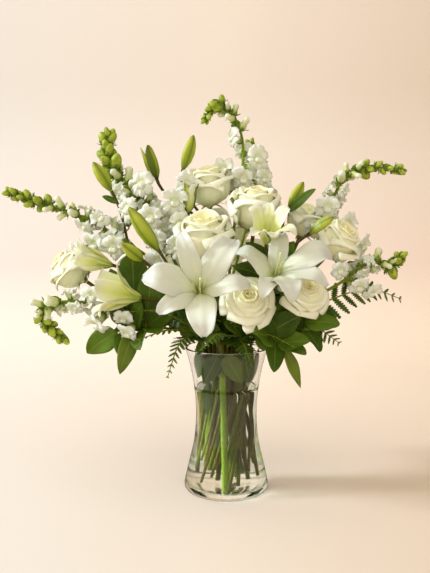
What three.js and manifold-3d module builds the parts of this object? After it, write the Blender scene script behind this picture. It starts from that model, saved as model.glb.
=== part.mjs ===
// Lilies in a vase: white lilies, roses and snapdragons with fern and lemon leaf, standing in a
// waisted clear glass vase of water. Millimetres, +Z up. The origin is the middle of the vase's flat
// underside. The front of the arrangement faces -Y, and its right side is +X.

import * as THREE from "three";
import { mergeVertices } from "three/addons/utils/BufferGeometryUtils.js";
import Module from "manifold-3d";

const wasm = await Module();
wasm.setup();

const { degToRad, lerp } = THREE.MathUtils;

// ---------------------------------------------------------------- driving dimensions

const GAP = 0.3; // clearance between pieces that touch
const CHANNEL_GAP = 0.42; // a little more, since a faceted channel's flats lie inside its corners

const VASE = {
  height: 203,
  wall: 3.5,
  floor: 7, // glass under the water
  footCorner: 5, // height of the rounded corner between the floor and the wall, inside
  cornerInset: 0.6, // how far the top of that corner stands in from the wall
  flat: 52, // radius of the flat underside
  facets: 32,
  // height and outer radius, from the rounded foot through the waist to the flared mouth
  outline: [
    [1.5, 56.5],
    [6, 59.5],
    [17, 57.6],
    [39, 52.6],
    [68, 45.8],
    [97, 43],
    [126, 43.2],
    [155, 46.6],
    [180, 51.6],
    [201, 57.6],
  ],
};

// The water stands up to its level. Its two halves meet at the vase's waist.
const WATER = { level: 148, waist: 97 };

// Stems stand on three rings and a centre point at the rim. Between the rim and the floor the whole
// bundle turns by its twist about its own centre, so that the straight stems cross without touching.
const BUNDLE = { centreY: 4, rimHeight: 200, twist: degToRad(-85) };
const RING = { centre: 0, inner: 11.5, middle: 23, outer: 34 };

// The bright lily stem at the front stands outside the turned bundle, against the glass.
const FRONT_STEM = [
  [-2, -40, VASE.floor + GAP],
  [-4, -33.8, 112],
  [-7, -40, BUNDLE.rimHeight],
];

const BEND_REACH = 0.36; // the share of a bend's span over which each end keeps its direction

// radius in the vase, radius at the far end, and facets of each kind of stem
const STEM = {
  lily: { radius: 4, end: 2.8, sides: 6, steps: 4 },
  pedicel: { radius: 1.9, end: 1.9, sides: 5, steps: 4 },
  rose: { radius: 2.8, end: 2.8, sides: 5, steps: 4 },
  snapdragon: { radius: 2.2, end: 1.6, sides: 5, steps: 4 },
  fern: { radius: 1.5, end: 0.7, sides: 4, steps: 3 },
  sprig: { radius: 1.9, end: 1.1, sides: 5, steps: 3 },
};

// greatest thickness of each kind of blade
const THICKNESS = { petal: 2.4, leaf: 1.8, leaflet: 1.6 };

// A rose head: radius and height, as shares of its own.
const ROSE = {
  facets: 10,
  outline: [
    [0, 0],
    [0.2, 0],
    [0.7, 0.17],
    [0.96, 0.42],
    [1, 0.66],
    [0.84, 0.9],
    [0.55, 1],
    [0, 1],
  ],
};

// A lily petal's middle line: radius in a bloom of the full length, and height as a share of the
// length, closed and wide open. Its width is a share of the length, broad and narrow by turns.
const LILY = {
  fullLength: 84,
  shut: [
    [1.5, 0],
    [7, 0.3],
    [12, 0.58],
    [17, 0.82],
    [25, 1],
  ],
  wideOpen: [
    [1.5, 0],
    [8, 0.26],
    [26, 0.48],
    [52, 0.6],
    [72, 0.52],
  ],
  widths: [0.36, 0.27],
  spread: [0.1, 0.34, 0.96, 0.86, 0.14],
  // height as a share of the length, and radius
  pistil: [
    [0, 3],
    [0.14, 4.5],
    [0.62, 1.2],
  ],
  pistilSides: 6,
};

// A lily bud: place along it and radius, as shares of its own.
const BUD = {
  facets: 6,
  outline: [
    [0, 0.3],
    [0.18, 0.72],
    [0.45, 1],
    [0.75, 0.82],
    [1, 0.16],
  ],
};

const SPIKE = { steps: 7, firstSize: 0.8, lastSize: 4.5, stretch: 1.2, stand: 0.9 };
const FROND = { pairs: 5, firstReach: 1.1, shortening: 0.85, forward: 0.45, droop: 0.12, width: 0.4 };
const LEAF = { steps: 4, rise: 0.1 };
const GOLDEN_ANGLE = Math.PI * (3 - Math.sqrt(5));

const COLOUR = {
  glass: 0xf2f6f3,
  water: 0xdfe8dc,
  lilyStem: 0x6f9a2c,
  lilyPetal: 0xf4f3ec,
  bud: 0x8fae3a,
  roseStem: 0x55702c,
  rosePetal: 0xf3eedd,
  snapdragon: 0xdfe8c6,
  fern: 0x2f5526,
  sprig: 0x315c28,
};

// ---------------------------------------------------------------- places

// Roses: middle of the base of each head, the way it faces, its largest radius, its height, and
// where its stem passes the rim (ring and angle, counted from +X towards +Y).
const ROSES = [
  {
    name: "rose_front",
    base: [20, -68, 261],
    facing: [0.1, -0.86, 0.48],
    radius: 35,
    height: 50,
    slot: ["middle", 259],
  },
  {
    name: "rose_front_right",
    base: [92, -48, 268],
    facing: [0.22, -0.8, 0.55],
    radius: 32,
    height: 50,
    slot: ["middle", 324],
  },
  {
    name: "rose_behind_lily",
    base: [-28, -44, 326],
    facing: [-0.05, -0.32, 0.95],
    radius: 36,
    height: 60,
    slot: ["inner", 226],
  },
  {
    name: "rose_upper",
    base: [36, -14, 362],
    facing: [0.08, -0.25, 0.96],
    radius: 35,
    height: 62,
    slot: ["inner", 298],
  },
  {
    name: "rose_top_back",
    base: [-23, 26, 396],
    facing: [-0.05, -0.2, 0.98],
    radius: 33,
    height: 54,
    slot: ["inner", 154],
  },
  {
    name: "rose_right",
    base: [136, -10, 330],
    facing: [0.5, -0.45, 0.74],
    radius: 33,
    height: 53,
    slot: ["middle", 357],
  },
  {
    name: "rose_left",
    base: [-194, 0, 294],
    facing: [-0.8, -0.42, 0.42],
    radius: 32,
    height: 48,
    slot: ["outer", 180],
  },
  {
    name: "rose_right_back",
    base: [104, 34, 354],
    facing: [0.25, -0.25, 0.93],
    radius: 28,
    height: 46,
    slot: ["inner", 10],
  },
  {
    name: "rose_back_left",
    base: [-70, 74, 292],
    facing: [-0.45, 0.72, 0.52],
    radius: 36,
    height: 54,
    slot: ["middle", 128],
  },
  {
    name: "rose_back_right",
    base: [68, 78, 296],
    facing: [0.42, 0.74, 0.52],
    radius: 36,
    height: 54,
    slot: ["middle", 62],
  },
];

// Lily stems: top of the trunk, the way the trunk leans there, and the rim place. The first has
// none: it is the stem at the front.
const LILY_STEMS = [
  {
    name: "lily_stem_front",
    top: [-44, -66, 262],
    lean: [-0.45, -0.35, 0.82],
  },
  {
    name: "lily_stem_right",
    top: [70, -36, 318],
    lean: [0.25, -0.15, 0.95],
    slot: ["middle", 291],
  },
  {
    name: "lily_stem_left",
    top: [-118, -6, 304],
    lean: [-0.6, 0.05, 0.8],
    slot: ["middle", 226],
  },
  {
    name: "lily_stem_centre",
    top: [-18, 52, 352],
    lean: [-0.12, 0.25, 0.96],
    slot: ["inner", 82],
  },
];

// Lily blooms: base, facing, how far open (0 a trumpet, 1 flat), length along a petal, turn about
// the facing, and the stem that carries it.
const BLOOMS = [
  {
    name: "lily_bloom_front",
    base: [-35, -112, 289],
    facing: [0, -0.93, 0.36],
    open: 1,
    length: 84,
    turn: 50,
    stem: 0,
  },
  {
    name: "lily_bloom_right",
    base: [58, -90, 300],
    facing: [0.05, -0.7, 0.71],
    open: 0.95,
    length: 80,
    turn: 20,
    stem: 1,
  },
  {
    name: "lily_bloom_upright",
    base: [48, -90, 350],
    facing: [0.12, -0.2, 0.97],
    open: 0.4,
    length: 56,
    turn: 0,
    stem: 1,
  },
  {
    name: "lily_bloom_left",
    base: [-112, -72, 279],
    facing: [-0.93, -0.28, 0.2],
    open: 0.45,
    length: 72,
    turn: 30,
    stem: 0,
  },
  {
    name: "lily_bloom_far_left",
    base: [-152, -46, 320],
    facing: [-0.9, -0.34, 0.3],
    open: 0.28,
    length: 56,
    turn: 0,
    stem: 2,
  },
  {
    name: "lily_bloom_back",
    base: [2, 112, 318],
    facing: [0.05, 0.86, 0.5],
    open: 1,
    length: 84,
    turn: 10,
    stem: 3,
  },
];

// Lily buds: base, tip, largest radius, and the stem that carries it.
const BUDS = [
  {
    name: "lily_bud_top",
    base: [-61, 26, 450],
    tip: [-46, 26, 497],
    radius: 8.5,
    stem: 3,
  },
  {
    name: "lily_bud_split",
    base: [-100, 48, 438],
    tip: [-115, 50, 484],
    radius: 9.5,
    stem: 3,
  },
  {
    name: "lily_bud_upper_left",
    base: [-158, -4, 419],
    tip: [-181, -9, 457],
    radius: 8.5,
    stem: 2,
  },
  {
    name: "lily_bud_large",
    base: [-88, -74, 341],
    tip: [-123, -90, 395],
    radius: 9.5,
    stem: 0,
  },
  {
    name: "lily_bud_left",
    base: [-108, -76, 328],
    tip: [-132, -94, 350],
    radius: 8,
    stem: 0,
  },
  {
    name: "lily_bud_opening",
    base: [-52, -18, 390],
    tip: [-48, -24, 428],
    radius: 9,
    stem: 3,
  },
  {
    name: "lily_bud_right",
    base: [86, 0, 398],
    tip: [105, 0, 431],
    radius: 7.5,
    stem: 1,
  },
  {
    name: "lily_bud_far_right",
    base: [108, -50, 362],
    tip: [136, -64, 383],
    radius: 7,
    stem: 1,
  },
];

// Snapdragons: the flowering spike from its lowest flower to its tip, the radius of its flowers
// there, and the rim place of its stem.
const SNAPDRAGONS = [
  {
    name: "snapdragon_left",
    spike: [
      [-138, -14, 350],
      [-175, -13, 373],
      [-213, -10, 390],
      [-258, -10, 403],
      [-299, -10, 418],
    ],
    radius: 17,
    slot: ["middle", 193],
  },
  {
    name: "snapdragon_left_low",
    spike: [
      [-150, -40, 268],
      [-190, -42, 272],
      [-236, -44, 268],
      [-246, -44, 250],
      [-215, -44, 218],
    ],
    radius: 14,
    slot: ["outer", 202.5],
  },
  {
    name: "snapdragon_upper_left",
    spike: [
      [-78, 2, 338],
      [-92, 8, 378],
      [-116, 20, 406],
      [-148, 30, 436],
      [-167, 30, 467],
      [-165, 30, 501],
    ],
    radius: 17,
    slot: ["middle", 160],
  },
  {
    name: "snapdragon_top",
    spike: [
      [20, 62, 430],
      [25, 66, 468],
      [22, 68, 504],
      [6, 70, 534],
      [-13, 70, 548],
      [-32, 70, 521],
    ],
    radius: 18,
    slot: ["centre", 0],
  },
  {
    name: "snapdragon_right",
    spike: [
      [148, 62, 380],
      [157, 60, 412],
      [174, 54, 444],
      [204, 46, 454],
      [252, 36, 449],
    ],
    radius: 14,
    slot: ["middle", 30],
  },
  {
    name: "snapdragon_right_low",
    spike: [
      [160, -28, 300],
      [184, -26, 318],
      [210, -22, 322],
      [226, -18, 318],
      [238, -16, 334],
    ],
    radius: 12,
    slot: ["outer", 0],
  },
  {
    name: "snapdragon_back",
    spike: [[34, 90, 392], [38, 106, 425], [40, 114, 460], [38, 116, 498]],
    radius: 17,
    slot: ["middle", 95],
  },
];

// Fern fronds: the midrib after it leaves the vase, the longest side leaflet, and the rim place.
const FERNS = [
  {
    name: "fern_front",
    rib: [[6, -56, 226], [20, -84, 222], [30, -104, 196]],
    leaflet: 26,
    slot: ["outer", 270],
  },
  {
    name: "fern_front_left",
    rib: [[-34, -60, 230], [-60, -88, 224], [-76, -104, 182]],
    leaflet: 24,
    slot: ["outer", 247.5],
  },
  {
    name: "fern_right",
    rib: [[70, -20, 236], [140, -28, 272], [192, -26, 286], [238, -22, 272]],
    leaflet: 36,
    slot: ["outer", 337.5],
  },
  {
    name: "fern_back_right",
    rib: [[44, 70, 232], [82, 112, 244], [104, 140, 226]],
    leaflet: 34,
    slot: ["outer", 67.5],
  },
  {
    name: "fern_back_left",
    rib: [[-36, 78, 236], [-66, 122, 250], [-84, 152, 232]],
    leaflet: 34,
    slot: ["outer", 112.5],
  },
];

// Lemon-leaf sprigs: the twig after it leaves the vase, its leaves (how far along the twig each one
// grows, its tip and its width) and the rim place.
const SPRIGS = [
  {
    name: "sprig_front_left",
    twig: [[-56, -44, 232], [-100, -62, 240], [-140, -66, 236]],
    leaves: [
      [1, [-184, -60, 205], 34],
      [1, [-131, -86, 198], 24],
      [0.75, [-136, -100, 186], 24],
      [0.75, [-126, -42, 350], 44],
      [0.5, [-88, -92, 236], 32],
    ],
    slot: ["outer", 225],
  },
  {
    name: "sprig_front_right",
    twig: [[28, -54, 230], [52, -76, 232], [70, -84, 220]],
    leaves: [
      [1, [94, -84, 164], 18],
      [0.75, [58, -106, 190], 26],
      [0.75, [98, -104, 212], 26],
    ],
    slot: ["outer", 292.5],
  },
  {
    name: "sprig_right",
    twig: [[52, -32, 234], [78, -50, 246], [96, -62, 246]],
    leaves: [
      [1, [120, -76, 210], 36],
      [1, [146, -66, 244], 34],
      [0.5, [116, -30, 224], 34],
    ],
    slot: ["outer", 315],
  },
  {
    name: "sprig_left",
    twig: [[-58, 28, 232], [-92, 36, 238], [-120, 38, 234]],
    leaves: [
      [1, [-166, 24, 214], 36],
      [0.75, [-150, 64, 228], 34],
      [0.5, [-122, 6, 226], 34],
    ],
    slot: ["outer", 157.5],
  },
  {
    name: "sprig_back_left",
    twig: [[-60, 62, 240], [-92, 88, 252], [-118, 104, 246]],
    leaves: [
      [1, [-166, 122, 226], 38],
      [0.75, [-128, 142, 232], 34],
      [0.5, [-152, 68, 262], 38],
    ],
    slot: ["outer", 135],
  },
  {
    name: "sprig_back",
    twig: [[2, 66, 236], [4, 96, 240], [6, 118, 226]],
    leaves: [
      [1, [16, 146, 180], 34],
      [0.75, [-26, 144, 214], 32],
      [0.5, [44, 128, 224], 32],
    ],
    slot: ["outer", 90],
  },
  {
    name: "sprig_back_right",
    twig: [[62, 50, 240], [98, 70, 252], [124, 82, 244]],
    leaves: [
      [1, [170, 92, 218], 38],
      [0.75, [146, 118, 240], 34],
      [0.5, [140, 36, 262], 36],
    ],
    slot: ["outer", 45],
  },
];

// ---------------------------------------------------------------- geometry helpers

const UP = new THREE.Vector3(0, 0, 1);
const RIGHT = new THREE.Vector3(1, 0, 0.01); // a side direction that no stem or bud runs along
const vector = (place) => new THREE.Vector3(...place);

// A geometry as a solid: shared corners merged, and faces that shrank to a line dropped.
function toSolid(geometry) {
  const bare = new THREE.BufferGeometry().setAttribute("position", geometry.attributes.position);
  bare.setIndex(geometry.index);
  const merged = mergeVertices(bare, 1e-4);
  const corners = [];
  for (let i = 0; i < merged.index.count; i += 3) {
    const [a, b, c] = merged.index.array.slice(i, i + 3);
    if (a !== b && b !== c && c !== a) corners.push(a, b, c);
  }
  return new wasm.Manifold(
    new wasm.Mesh({
      numProp: 3,
      vertProperties: merged.attributes.position.array,
      triVerts: new Uint32Array(corners),
    }),
  );
}

function toGeometry(solid) {
  const { vertProperties, triVerts } = solid.getMesh();
  const geometry = new THREE.BufferGeometry();
  geometry.setAttribute("position", new THREE.BufferAttribute(vertProperties, 3));
  geometry.setIndex(new THREE.BufferAttribute(triVerts, 1));
  geometry.computeVertexNormals();
  return geometry;
}

const joined = (geometries) => geometries.map(toSolid).reduce((whole, piece) => whole.add(piece));

// A body turned about the vertical from radii and heights.
function turned(outline, facets) {
  const points = outline.map(([r, z]) => new THREE.Vector2(r, z));
  return toSolid(new THREE.LatheGeometry(points, facets).rotateX(Math.PI / 2));
}

// A closed body through a row of rings. Each ring has a middle, the way the body runs there, the
// way its width lies, and its half width and half thickness.
function loft(rings, sides) {
  const last = rings.length - 1;
  const profile = [new THREE.Vector2(0, 0)];
  rings.forEach((_, i) => profile.push(new THREE.Vector2(1, i)));
  profile.push(new THREE.Vector2(0, last));
  const geometry = new THREE.LatheGeometry(profile, sides);
  const frames = rings.map(({ at, along, across, wide, thick = wide }) => {
    const run = along.clone().normalize();
    const side = across.clone().addScaledVector(run, -across.dot(run)).normalize();
    const face = side.clone().cross(run);
    return { at, side: side.multiplyScalar(wide), face: face.multiplyScalar(thick) };
  });
  const spots = geometry.attributes.position;
  const spot = new THREE.Vector3();
  for (let i = 0; i < spots.count; i += 1) {
    spot.fromBufferAttribute(spots, i);
    const { at, side, face } = frames[Math.round(spot.y)];
    const moved = at.clone().addScaledVector(side, spot.x).addScaledVector(face, spot.z);
    spots.setXYZ(i, moved.x, moved.y, moved.z);
  }
  return geometry;
}

// A leaf or petal: a flat spindle along a curve, thick at its middle line and thin at its edges.
function blade(curve, across, width, thickness, steps, outline) {
  const edge = 0.4; // the thickness where the outline has no width, as a share
  const rings = [];
  for (let i = 0; i <= steps; i += 1) {
    const t = i / steps;
    const share = outline(t);
    rings.push({
      at: curve.getPoint(t),
      along: curve.getTangent(t),
      across,
      wide: (width / 2) * share,
      thick: (thickness / 2) * lerp(edge, 1, share),
    });
  }
  return loft(rings, 4);
}

const leafOutline = (t) => lerp(0.08, 1, Math.sin(Math.PI * Math.min(1, t ** 0.75)) ** 0.8);

// The radius of the vase's inside at a height.
function innerRadius(height) {
  const { outline, wall } = VASE;
  const next = outline.findIndex(([z]) => z >= height);
  const [z0, r0] = outline[next - 1];
  const [z1, r1] = outline[next];
  return lerp(r0, r1, (height - z0) / (z1 - z0)) - wall;
}

// ---------------------------------------------------------------- stems

// Where a stem passes the rim.
function rimPlace([ring, degrees]) {
  const angle = degToRad(degrees);
  const radius = RING[ring];
  return new THREE.Vector3(
    radius * Math.cos(angle),
    radius * Math.sin(angle) + BUNDLE.centreY,
    BUNDLE.rimHeight,
  );
}

// Where the same stem stands on the floor: its rim place turned about the bundle's centre.
function footPlace(slot) {
  const centre = new THREE.Vector3(0, BUNDLE.centreY, 0);
  const foot = rimPlace(slot).sub(centre).applyAxisAngle(UP, BUNDLE.twist).add(centre);
  return foot.setZ(VASE.floor + GAP);
}

// The level rings of a stem inside the vase, from its foot to the rim.
function rootedRings(places, { radius }) {
  return places.map((at) => ({ at, along: UP, across: RIGHT, wide: radius }));
}

// Rings along a curve, past its start, with the radius going evenly from one end's to the other's.
function curveRings(curve, steps, startRadius, endRadius) {
  const rings = [];
  for (let i = 1; i <= steps; i += 1) {
    const t = i / steps;
    rings.push({
      at: curve.getPoint(t),
      along: curve.getTangent(t),
      across: RIGHT,
      wide: lerp(startRadius, endRadius, t),
    });
  }
  return rings;
}

// The bend from a place with one direction to another place with another direction.
function bend(start, startWay, end, endWay) {
  const reach = start.distanceTo(end) * BEND_REACH;
  return new THREE.CubicBezierCurve3(
    start,
    start.clone().addScaledVector(startWay.clone().normalize(), reach),
    end.clone().addScaledVector(endWay.clone().normalize(), -reach),
    end,
  );
}

// Stems are kept here as solids, so that the water can be cut round them.
const rooted = [];

// The space a stem takes in the water, a little wider and deeper than the stem.
function keepClear(rings, { radius, sides }) {
  const below = 1.02; // the channel runs on past the stem's foot, as a share of the stem
  const low = { ...rings[0], at: rings[1].at.clone().lerp(rings[0].at, below) };
  const space = [low, ...rings.slice(1)].map((ring) => ({ ...ring, wide: radius + CHANNEL_GAP }));
  rooted.push(toSolid(loft(space, sides)));
}

// The rings of a whole stem: straight through the vase, then bent to its end. Its places in the
// vase run from its foot to the rim.
function stalk(places, end, endWay, kind, endRadius = kind.radius) {
  const inside = rootedRings(places, kind);
  keepClear(inside, kind);
  const [below, rim] = places.slice(-2);
  const curve = bend(rim, rim.clone().sub(below), end, endWay);
  return [...inside, ...curveRings(curve, kind.steps, kind.radius, endRadius)];
}

const slotPlaces = (slot) => [footPlace(slot), rimPlace(slot)];

// ---------------------------------------------------------------- the pieces

const bouquet = new THREE.Group();
bouquet.name = "lilies_in_a_vase";

function addPiece(name, geometry, color, roughness, extra = {}) {
  const material = new THREE.MeshStandardMaterial({ color, roughness, metalness: 0, ...extra });
  const mesh = new THREE.Mesh(geometry, material);
  mesh.name = name;
  bouquet.add(mesh);
  return mesh;
}

function addVase() {
  const { height, wall, floor, footCorner, cornerInset, flat, outline, facets } = VASE;
  const [lipHeight, lipRadius] = outline.at(-1);
  const inside = outline.filter(([z]) => z > floor + footCorner && z < lipHeight);
  const cornerRadius = innerRadius(floor + footCorner);
  const profile = [
    [0, 0],
    [flat, 0],
    ...outline.map(([z, r]) => [r, z]),
    [lipRadius - wall / 2, height],
    [lipRadius - wall, lipHeight],
    ...inside.reverse().map(([z, r]) => [r - wall, z]),
    [cornerRadius - cornerInset, floor + footCorner],
    [cornerRadius - footCorner, floor],
    [0, floor],
  ];
  const glass = { transparent: true, opacity: 0.35 };
  addPiece("vase", toGeometry(turned(profile, facets)), COLOUR.glass, 0.05, glass);
}

// A body of water between two heights, cut round the stems.
function addWater(name, bottom, top) {
  const wet = VASE.outline.map(([z]) => z).filter((z) => z > bottom[0][1] && z < top);
  const profile = [
    [0, bottom[0][1]],
    ...bottom,
    ...wet.filter((z) => z > bottom.at(-1)[1]).map((z) => [innerRadius(z) - GAP, z]),
    [innerRadius(top) - GAP, top],
    [0, top],
  ];
  const body = turned(profile, VASE.facets);
  const water = rooted.reduce((left, stem) => left.subtract(stem), body);
  const clear = { transparent: true, opacity: 0.3 };
  addPiece(name, toGeometry(water), COLOUR.water, 0.05, clear);
}

function addWaters() {
  const { floor, footCorner, cornerInset } = VASE;
  const cornerRadius = innerRadius(floor + footCorner);
  const overFloor = [
    [cornerRadius - footCorner - GAP, floor + GAP],
    [cornerRadius - cornerInset - GAP, floor + footCorner],
  ];
  const middle = WATER.waist + GAP;
  addWater("water_lower", overFloor, WATER.waist);
  addWater("water_upper", [[innerRadius(middle) - GAP, middle]], WATER.level);
}

function addRose({ name, base, facing, radius, height, slot }) {
  const way = vector(facing).normalize();
  const seat = vector(base);
  const outline = ROSE.outline.map(([r, z]) => [r * radius, z * height]);
  const head = addPiece(name, toGeometry(turned(outline, ROSE.facets)), COLOUR.rosePetal, 0.6);
  head.position.copy(seat);
  head.quaternion.setFromUnitVectors(UP, way);

  const end = seat.clone().addScaledVector(way, -GAP);
  const rings = stalk(slotPlaces(slot), end, way, STEM.rose);
  const stem = toSolid(loft(rings, STEM.rose.sides));
  addPiece(`${name}_stem`, toGeometry(stem), COLOUR.roseStem, 0.55);
}

// One petal of a lily, in the bloom's own frame with +Z out of its mouth.
function lilyPetal(angle, open, length, width) {
  const out = new THREE.Vector3(Math.cos(angle), Math.sin(angle), 0);
  const scale = length / LILY.fullLength;
  const places = LILY.shut.map(([shutRadius, shutHeight], i) => {
    const [openRadius, openHeight] = LILY.wideOpen[i];
    const radius = lerp(shutRadius, openRadius, open) * scale;
    const height = lerp(shutHeight, openHeight, open) * length;
    return out.clone().multiplyScalar(radius).setZ(height);
  });
  const across = new THREE.Vector3(-Math.sin(angle), Math.cos(angle), 0);
  const steps = LILY.spread.length - 1;
  const outline = (t) => LILY.spread[Math.round(t * steps)];
  const line = new THREE.CatmullRomCurve3(places);
  return blade(line, across, width, THICKNESS.petal, steps, outline);
}

function addBloom({ name, base, facing, open, length, turn }) {
  const petals = [];
  for (let i = 0; i < 6; i += 1) {
    const angle = degToRad(turn + 60 * i);
    petals.push(lilyPetal(angle, open, length, LILY.widths[i % 2] * length));
  }
  const pistil = LILY.pistil.map(([share, wide]) => ({
    at: new THREE.Vector3(0, 0, share * length),
    along: UP,
    across: RIGHT,
    wide,
  }));
  const whole = joined([loft(pistil, LILY.pistilSides), ...petals]);
  const bloom = addPiece(name, toGeometry(whole), COLOUR.lilyPetal, 0.5);
  bloom.position.copy(vector(base));
  bloom.quaternion.setFromUnitVectors(UP, vector(facing).normalize());
}

function addBud({ name, base, tip, radius }) {
  const start = vector(base);
  const way = vector(tip).sub(start);
  const rings = BUD.outline.map(([t, share]) => ({
    at: start.clone().addScaledVector(way, t),
    along: way,
    across: RIGHT,
    wide: radius * share,
  }));
  addPiece(name, toGeometry(toSolid(loft(rings, BUD.facets))), COLOUR.bud, 0.5);
}

// A trunk with a short stalk to each bloom and bud that it carries.
function addLilyStem({ name, top, lean, slot }, index) {
  const places = slot ? slotPlaces(slot) : FRONT_STEM.map(vector);
  const end = vector(top);
  const way = vector(lean).normalize();
  const trunk = stalk(places, end, way, STEM.lily, STEM.lily.end);
  const start = end.clone().addScaledVector(way, -STEM.lily.radius);
  const { radius, sides, steps } = STEM.pedicel;
  const first = { at: start, along: way, across: RIGHT, wide: radius };
  const carried = [...BLOOMS, ...BUDS].filter(({ stem }) => stem === index);
  const stalks = carried.map(({ base, facing, tip }) => {
    const out = facing ? vector(facing) : vector(tip).sub(vector(base));
    const last = vector(base).addScaledVector(out.normalize(), -GAP);
    return loft([first, ...curveRings(bend(start, way, last, out), steps, radius, radius)], sides);
  });
  const whole = joined([loft(trunk, STEM.lily.sides), ...stalks]);
  addPiece(name, toGeometry(whole), COLOUR.lilyStem, 0.45);
}

// A spike of flowers: large at its foot, small closed buds at its tip.
function addSnapdragon({ name, spike, radius, slot }) {
  const { steps, firstSize, lastSize, stretch, stand } = SPIKE;
  const kind = STEM.snapdragon;
  const line = new THREE.CatmullRomCurve3(spike.map(vector));
  const stem = stalk(slotPlaces(slot), line.getPoint(0), line.getTangent(0), kind);
  const whole = [...stem, ...curveRings(line, steps, kind.radius, kind.end)];
  const flowers = [];
  for (let i = 0; i <= steps; i += 1) {
    const t = i / steps;
    const size = lerp(radius * firstSize, lastSize, t ** 0.8);
    const way = line.getTangent(Math.min(t, 0.98));
    const side = new THREE.Vector3(1, 0.2, 0.1).cross(way).normalize();
    const out = side.applyAxisAngle(way, i * GOLDEN_ANGLE);
    const flower = new THREE.OctahedronGeometry(size * stretch);
    flower.applyQuaternion(new THREE.Quaternion().setFromUnitVectors(UP, out));
    const place = line.getPoint(t).addScaledVector(out, size * stand);
    flower.translate(place.x, place.y, place.z);
    flowers.push(flower);
  }
  const flowering = joined([loft(whole, kind.sides), ...flowers]);
  addPiece(name, toGeometry(flowering), COLOUR.snapdragon, 0.6);
}

// A frond: a midrib with pairs of side leaflets that shorten towards its tip.
function addFern({ name, rib, leaflet, slot }) {
  const { pairs, firstReach, shortening, forward, droop, width } = FROND;
  const kind = STEM.fern;
  const line = new THREE.CatmullRomCurve3(rib.map(vector));
  const stem = stalk(slotPlaces(slot), line.getPoint(0), line.getTangent(0), kind);
  const whole = [...stem, ...curveRings(line, pairs + 1, kind.radius, kind.end)];
  const outline = (u) => 1 - 1.7 * Math.abs(u - 0.5);
  const leaflets = [];
  for (let i = 1; i <= pairs; i += 1) {
    const t = i / (pairs + 1);
    const middle = line.getPoint(t);
    const way = line.getTangent(t);
    const level = way.clone().cross(UP).normalize();
    const reach = leaflet * (firstReach - shortening * t);
    const [left, right] = [-1, 1].map((hand) => {
      const out = level.clone().multiplyScalar(hand).addScaledVector(way, forward).normalize();
      return middle.clone().addScaledVector(out, reach).addScaledVector(UP, -droop * reach);
    });
    const curve = new THREE.CatmullRomCurve3([left, middle, right]);
    leaflets.push(blade(curve, way, reach * width, THICKNESS.leaflet, 2, outline));
  }
  const frond = joined([loft(whole, kind.sides), ...leaflets]);
  addPiece(name, toGeometry(frond), COLOUR.fern, 0.6);
}

function addSprig({ name, twig, leaves, slot }) {
  const kind = STEM.sprig;
  const line = new THREE.CatmullRomCurve3(twig.map(vector));
  const stem = stalk(slotPlaces(slot), line.getPoint(0), line.getTangent(0), kind);
  const whole = [...stem, ...curveRings(line, LEAF.steps, kind.radius, kind.end)];
  const blades = leaves.map(([t, tip, width]) => {
    const root = line.getPoint(t).addScaledVector(line.getTangent(t), -1);
    const end = vector(tip);
    const rise = root.distanceTo(end) * LEAF.rise;
    const middle = root.clone().lerp(end, 0.5).addScaledVector(UP, rise);
    const curve = new THREE.QuadraticBezierCurve3(root, middle, end);
    const across = end.clone().sub(root).cross(UP);
    return blade(curve, across, width, THICKNESS.leaf, LEAF.steps, leafOutline);
  });
  const sprig = joined([loft(whole, kind.sides), ...blades]);
  addPiece(name, toGeometry(sprig), COLOUR.sprig, 0.5);
}

addVase();
ROSES.forEach(addRose);
LILY_STEMS.forEach(addLilyStem);
BLOOMS.forEach(addBloom);
BUDS.forEach(addBud);
SNAPDRAGONS.forEach(addSnapdragon);
FERNS.forEach(addFern);
SPRIGS.forEach(addSprig);
addWaters();

export default bouquet;
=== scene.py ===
"""Lilies in a vase: the looks of a cut-flower arrangement in a clear glass vase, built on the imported
frame. Shapes are worked out in millimetres, in the frame's own axes, and made in metres."""

import math
import random

import bpy
import numpy as np
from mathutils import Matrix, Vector


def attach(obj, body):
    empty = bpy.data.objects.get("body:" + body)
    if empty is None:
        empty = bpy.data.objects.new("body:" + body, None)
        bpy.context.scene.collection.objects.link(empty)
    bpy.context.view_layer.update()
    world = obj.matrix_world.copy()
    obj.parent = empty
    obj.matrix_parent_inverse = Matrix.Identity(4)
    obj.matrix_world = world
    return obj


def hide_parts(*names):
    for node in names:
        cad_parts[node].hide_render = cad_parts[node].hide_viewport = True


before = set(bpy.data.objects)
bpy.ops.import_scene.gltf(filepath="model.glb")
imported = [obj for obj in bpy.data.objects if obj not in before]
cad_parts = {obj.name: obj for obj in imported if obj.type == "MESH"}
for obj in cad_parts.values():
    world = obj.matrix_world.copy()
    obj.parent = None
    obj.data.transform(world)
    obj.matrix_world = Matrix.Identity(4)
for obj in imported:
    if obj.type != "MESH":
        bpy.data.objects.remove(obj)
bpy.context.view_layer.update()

MM = 0.001
GOLDEN_ANGLE = math.pi * (3 - math.sqrt(5))
# The phases of waves and ruffles are drawn from this range.
ANY_PHASE = 6.28
# Multiples of this, taken modulo 1, vary from one stem to the next.
SCATTER_STEP = 0.37
# Each kind counts its random seeds from here.
SEEDS = {"rose": 11, "bloom": 40, "lily_stem": 70, "lily_leaf": 90, "snapdragon": 200, "floret": 300,
         "fern": 400, "sprig_leaf": 500, "crowd": 600, "vase_leaf": 700}

# ---------------------------------------------------------------- places, in mm

# Stems stand this far above the vase's floor, and flowers sit this far from their stems.
GAP = 0.3

VASE_WALL = 3.5
VASE_FLOOR = 7
# The middle of the rounded rim.
VASE_RIM = 201.25
# height, radius
VASE_OUTLINE = [
    (1.5, 56.5), (6, 59.5), (17, 57.6), (39, 52.6), (68, 45.8),
    (97, 43), (126, 43.2), (155, 46.6), (180, 51.6), (201, 57.6),
]
WATER_LEVEL = 148
# What hangs down outside this radius misses the vase.
CLEAR_OF_VASE = 92

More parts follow.
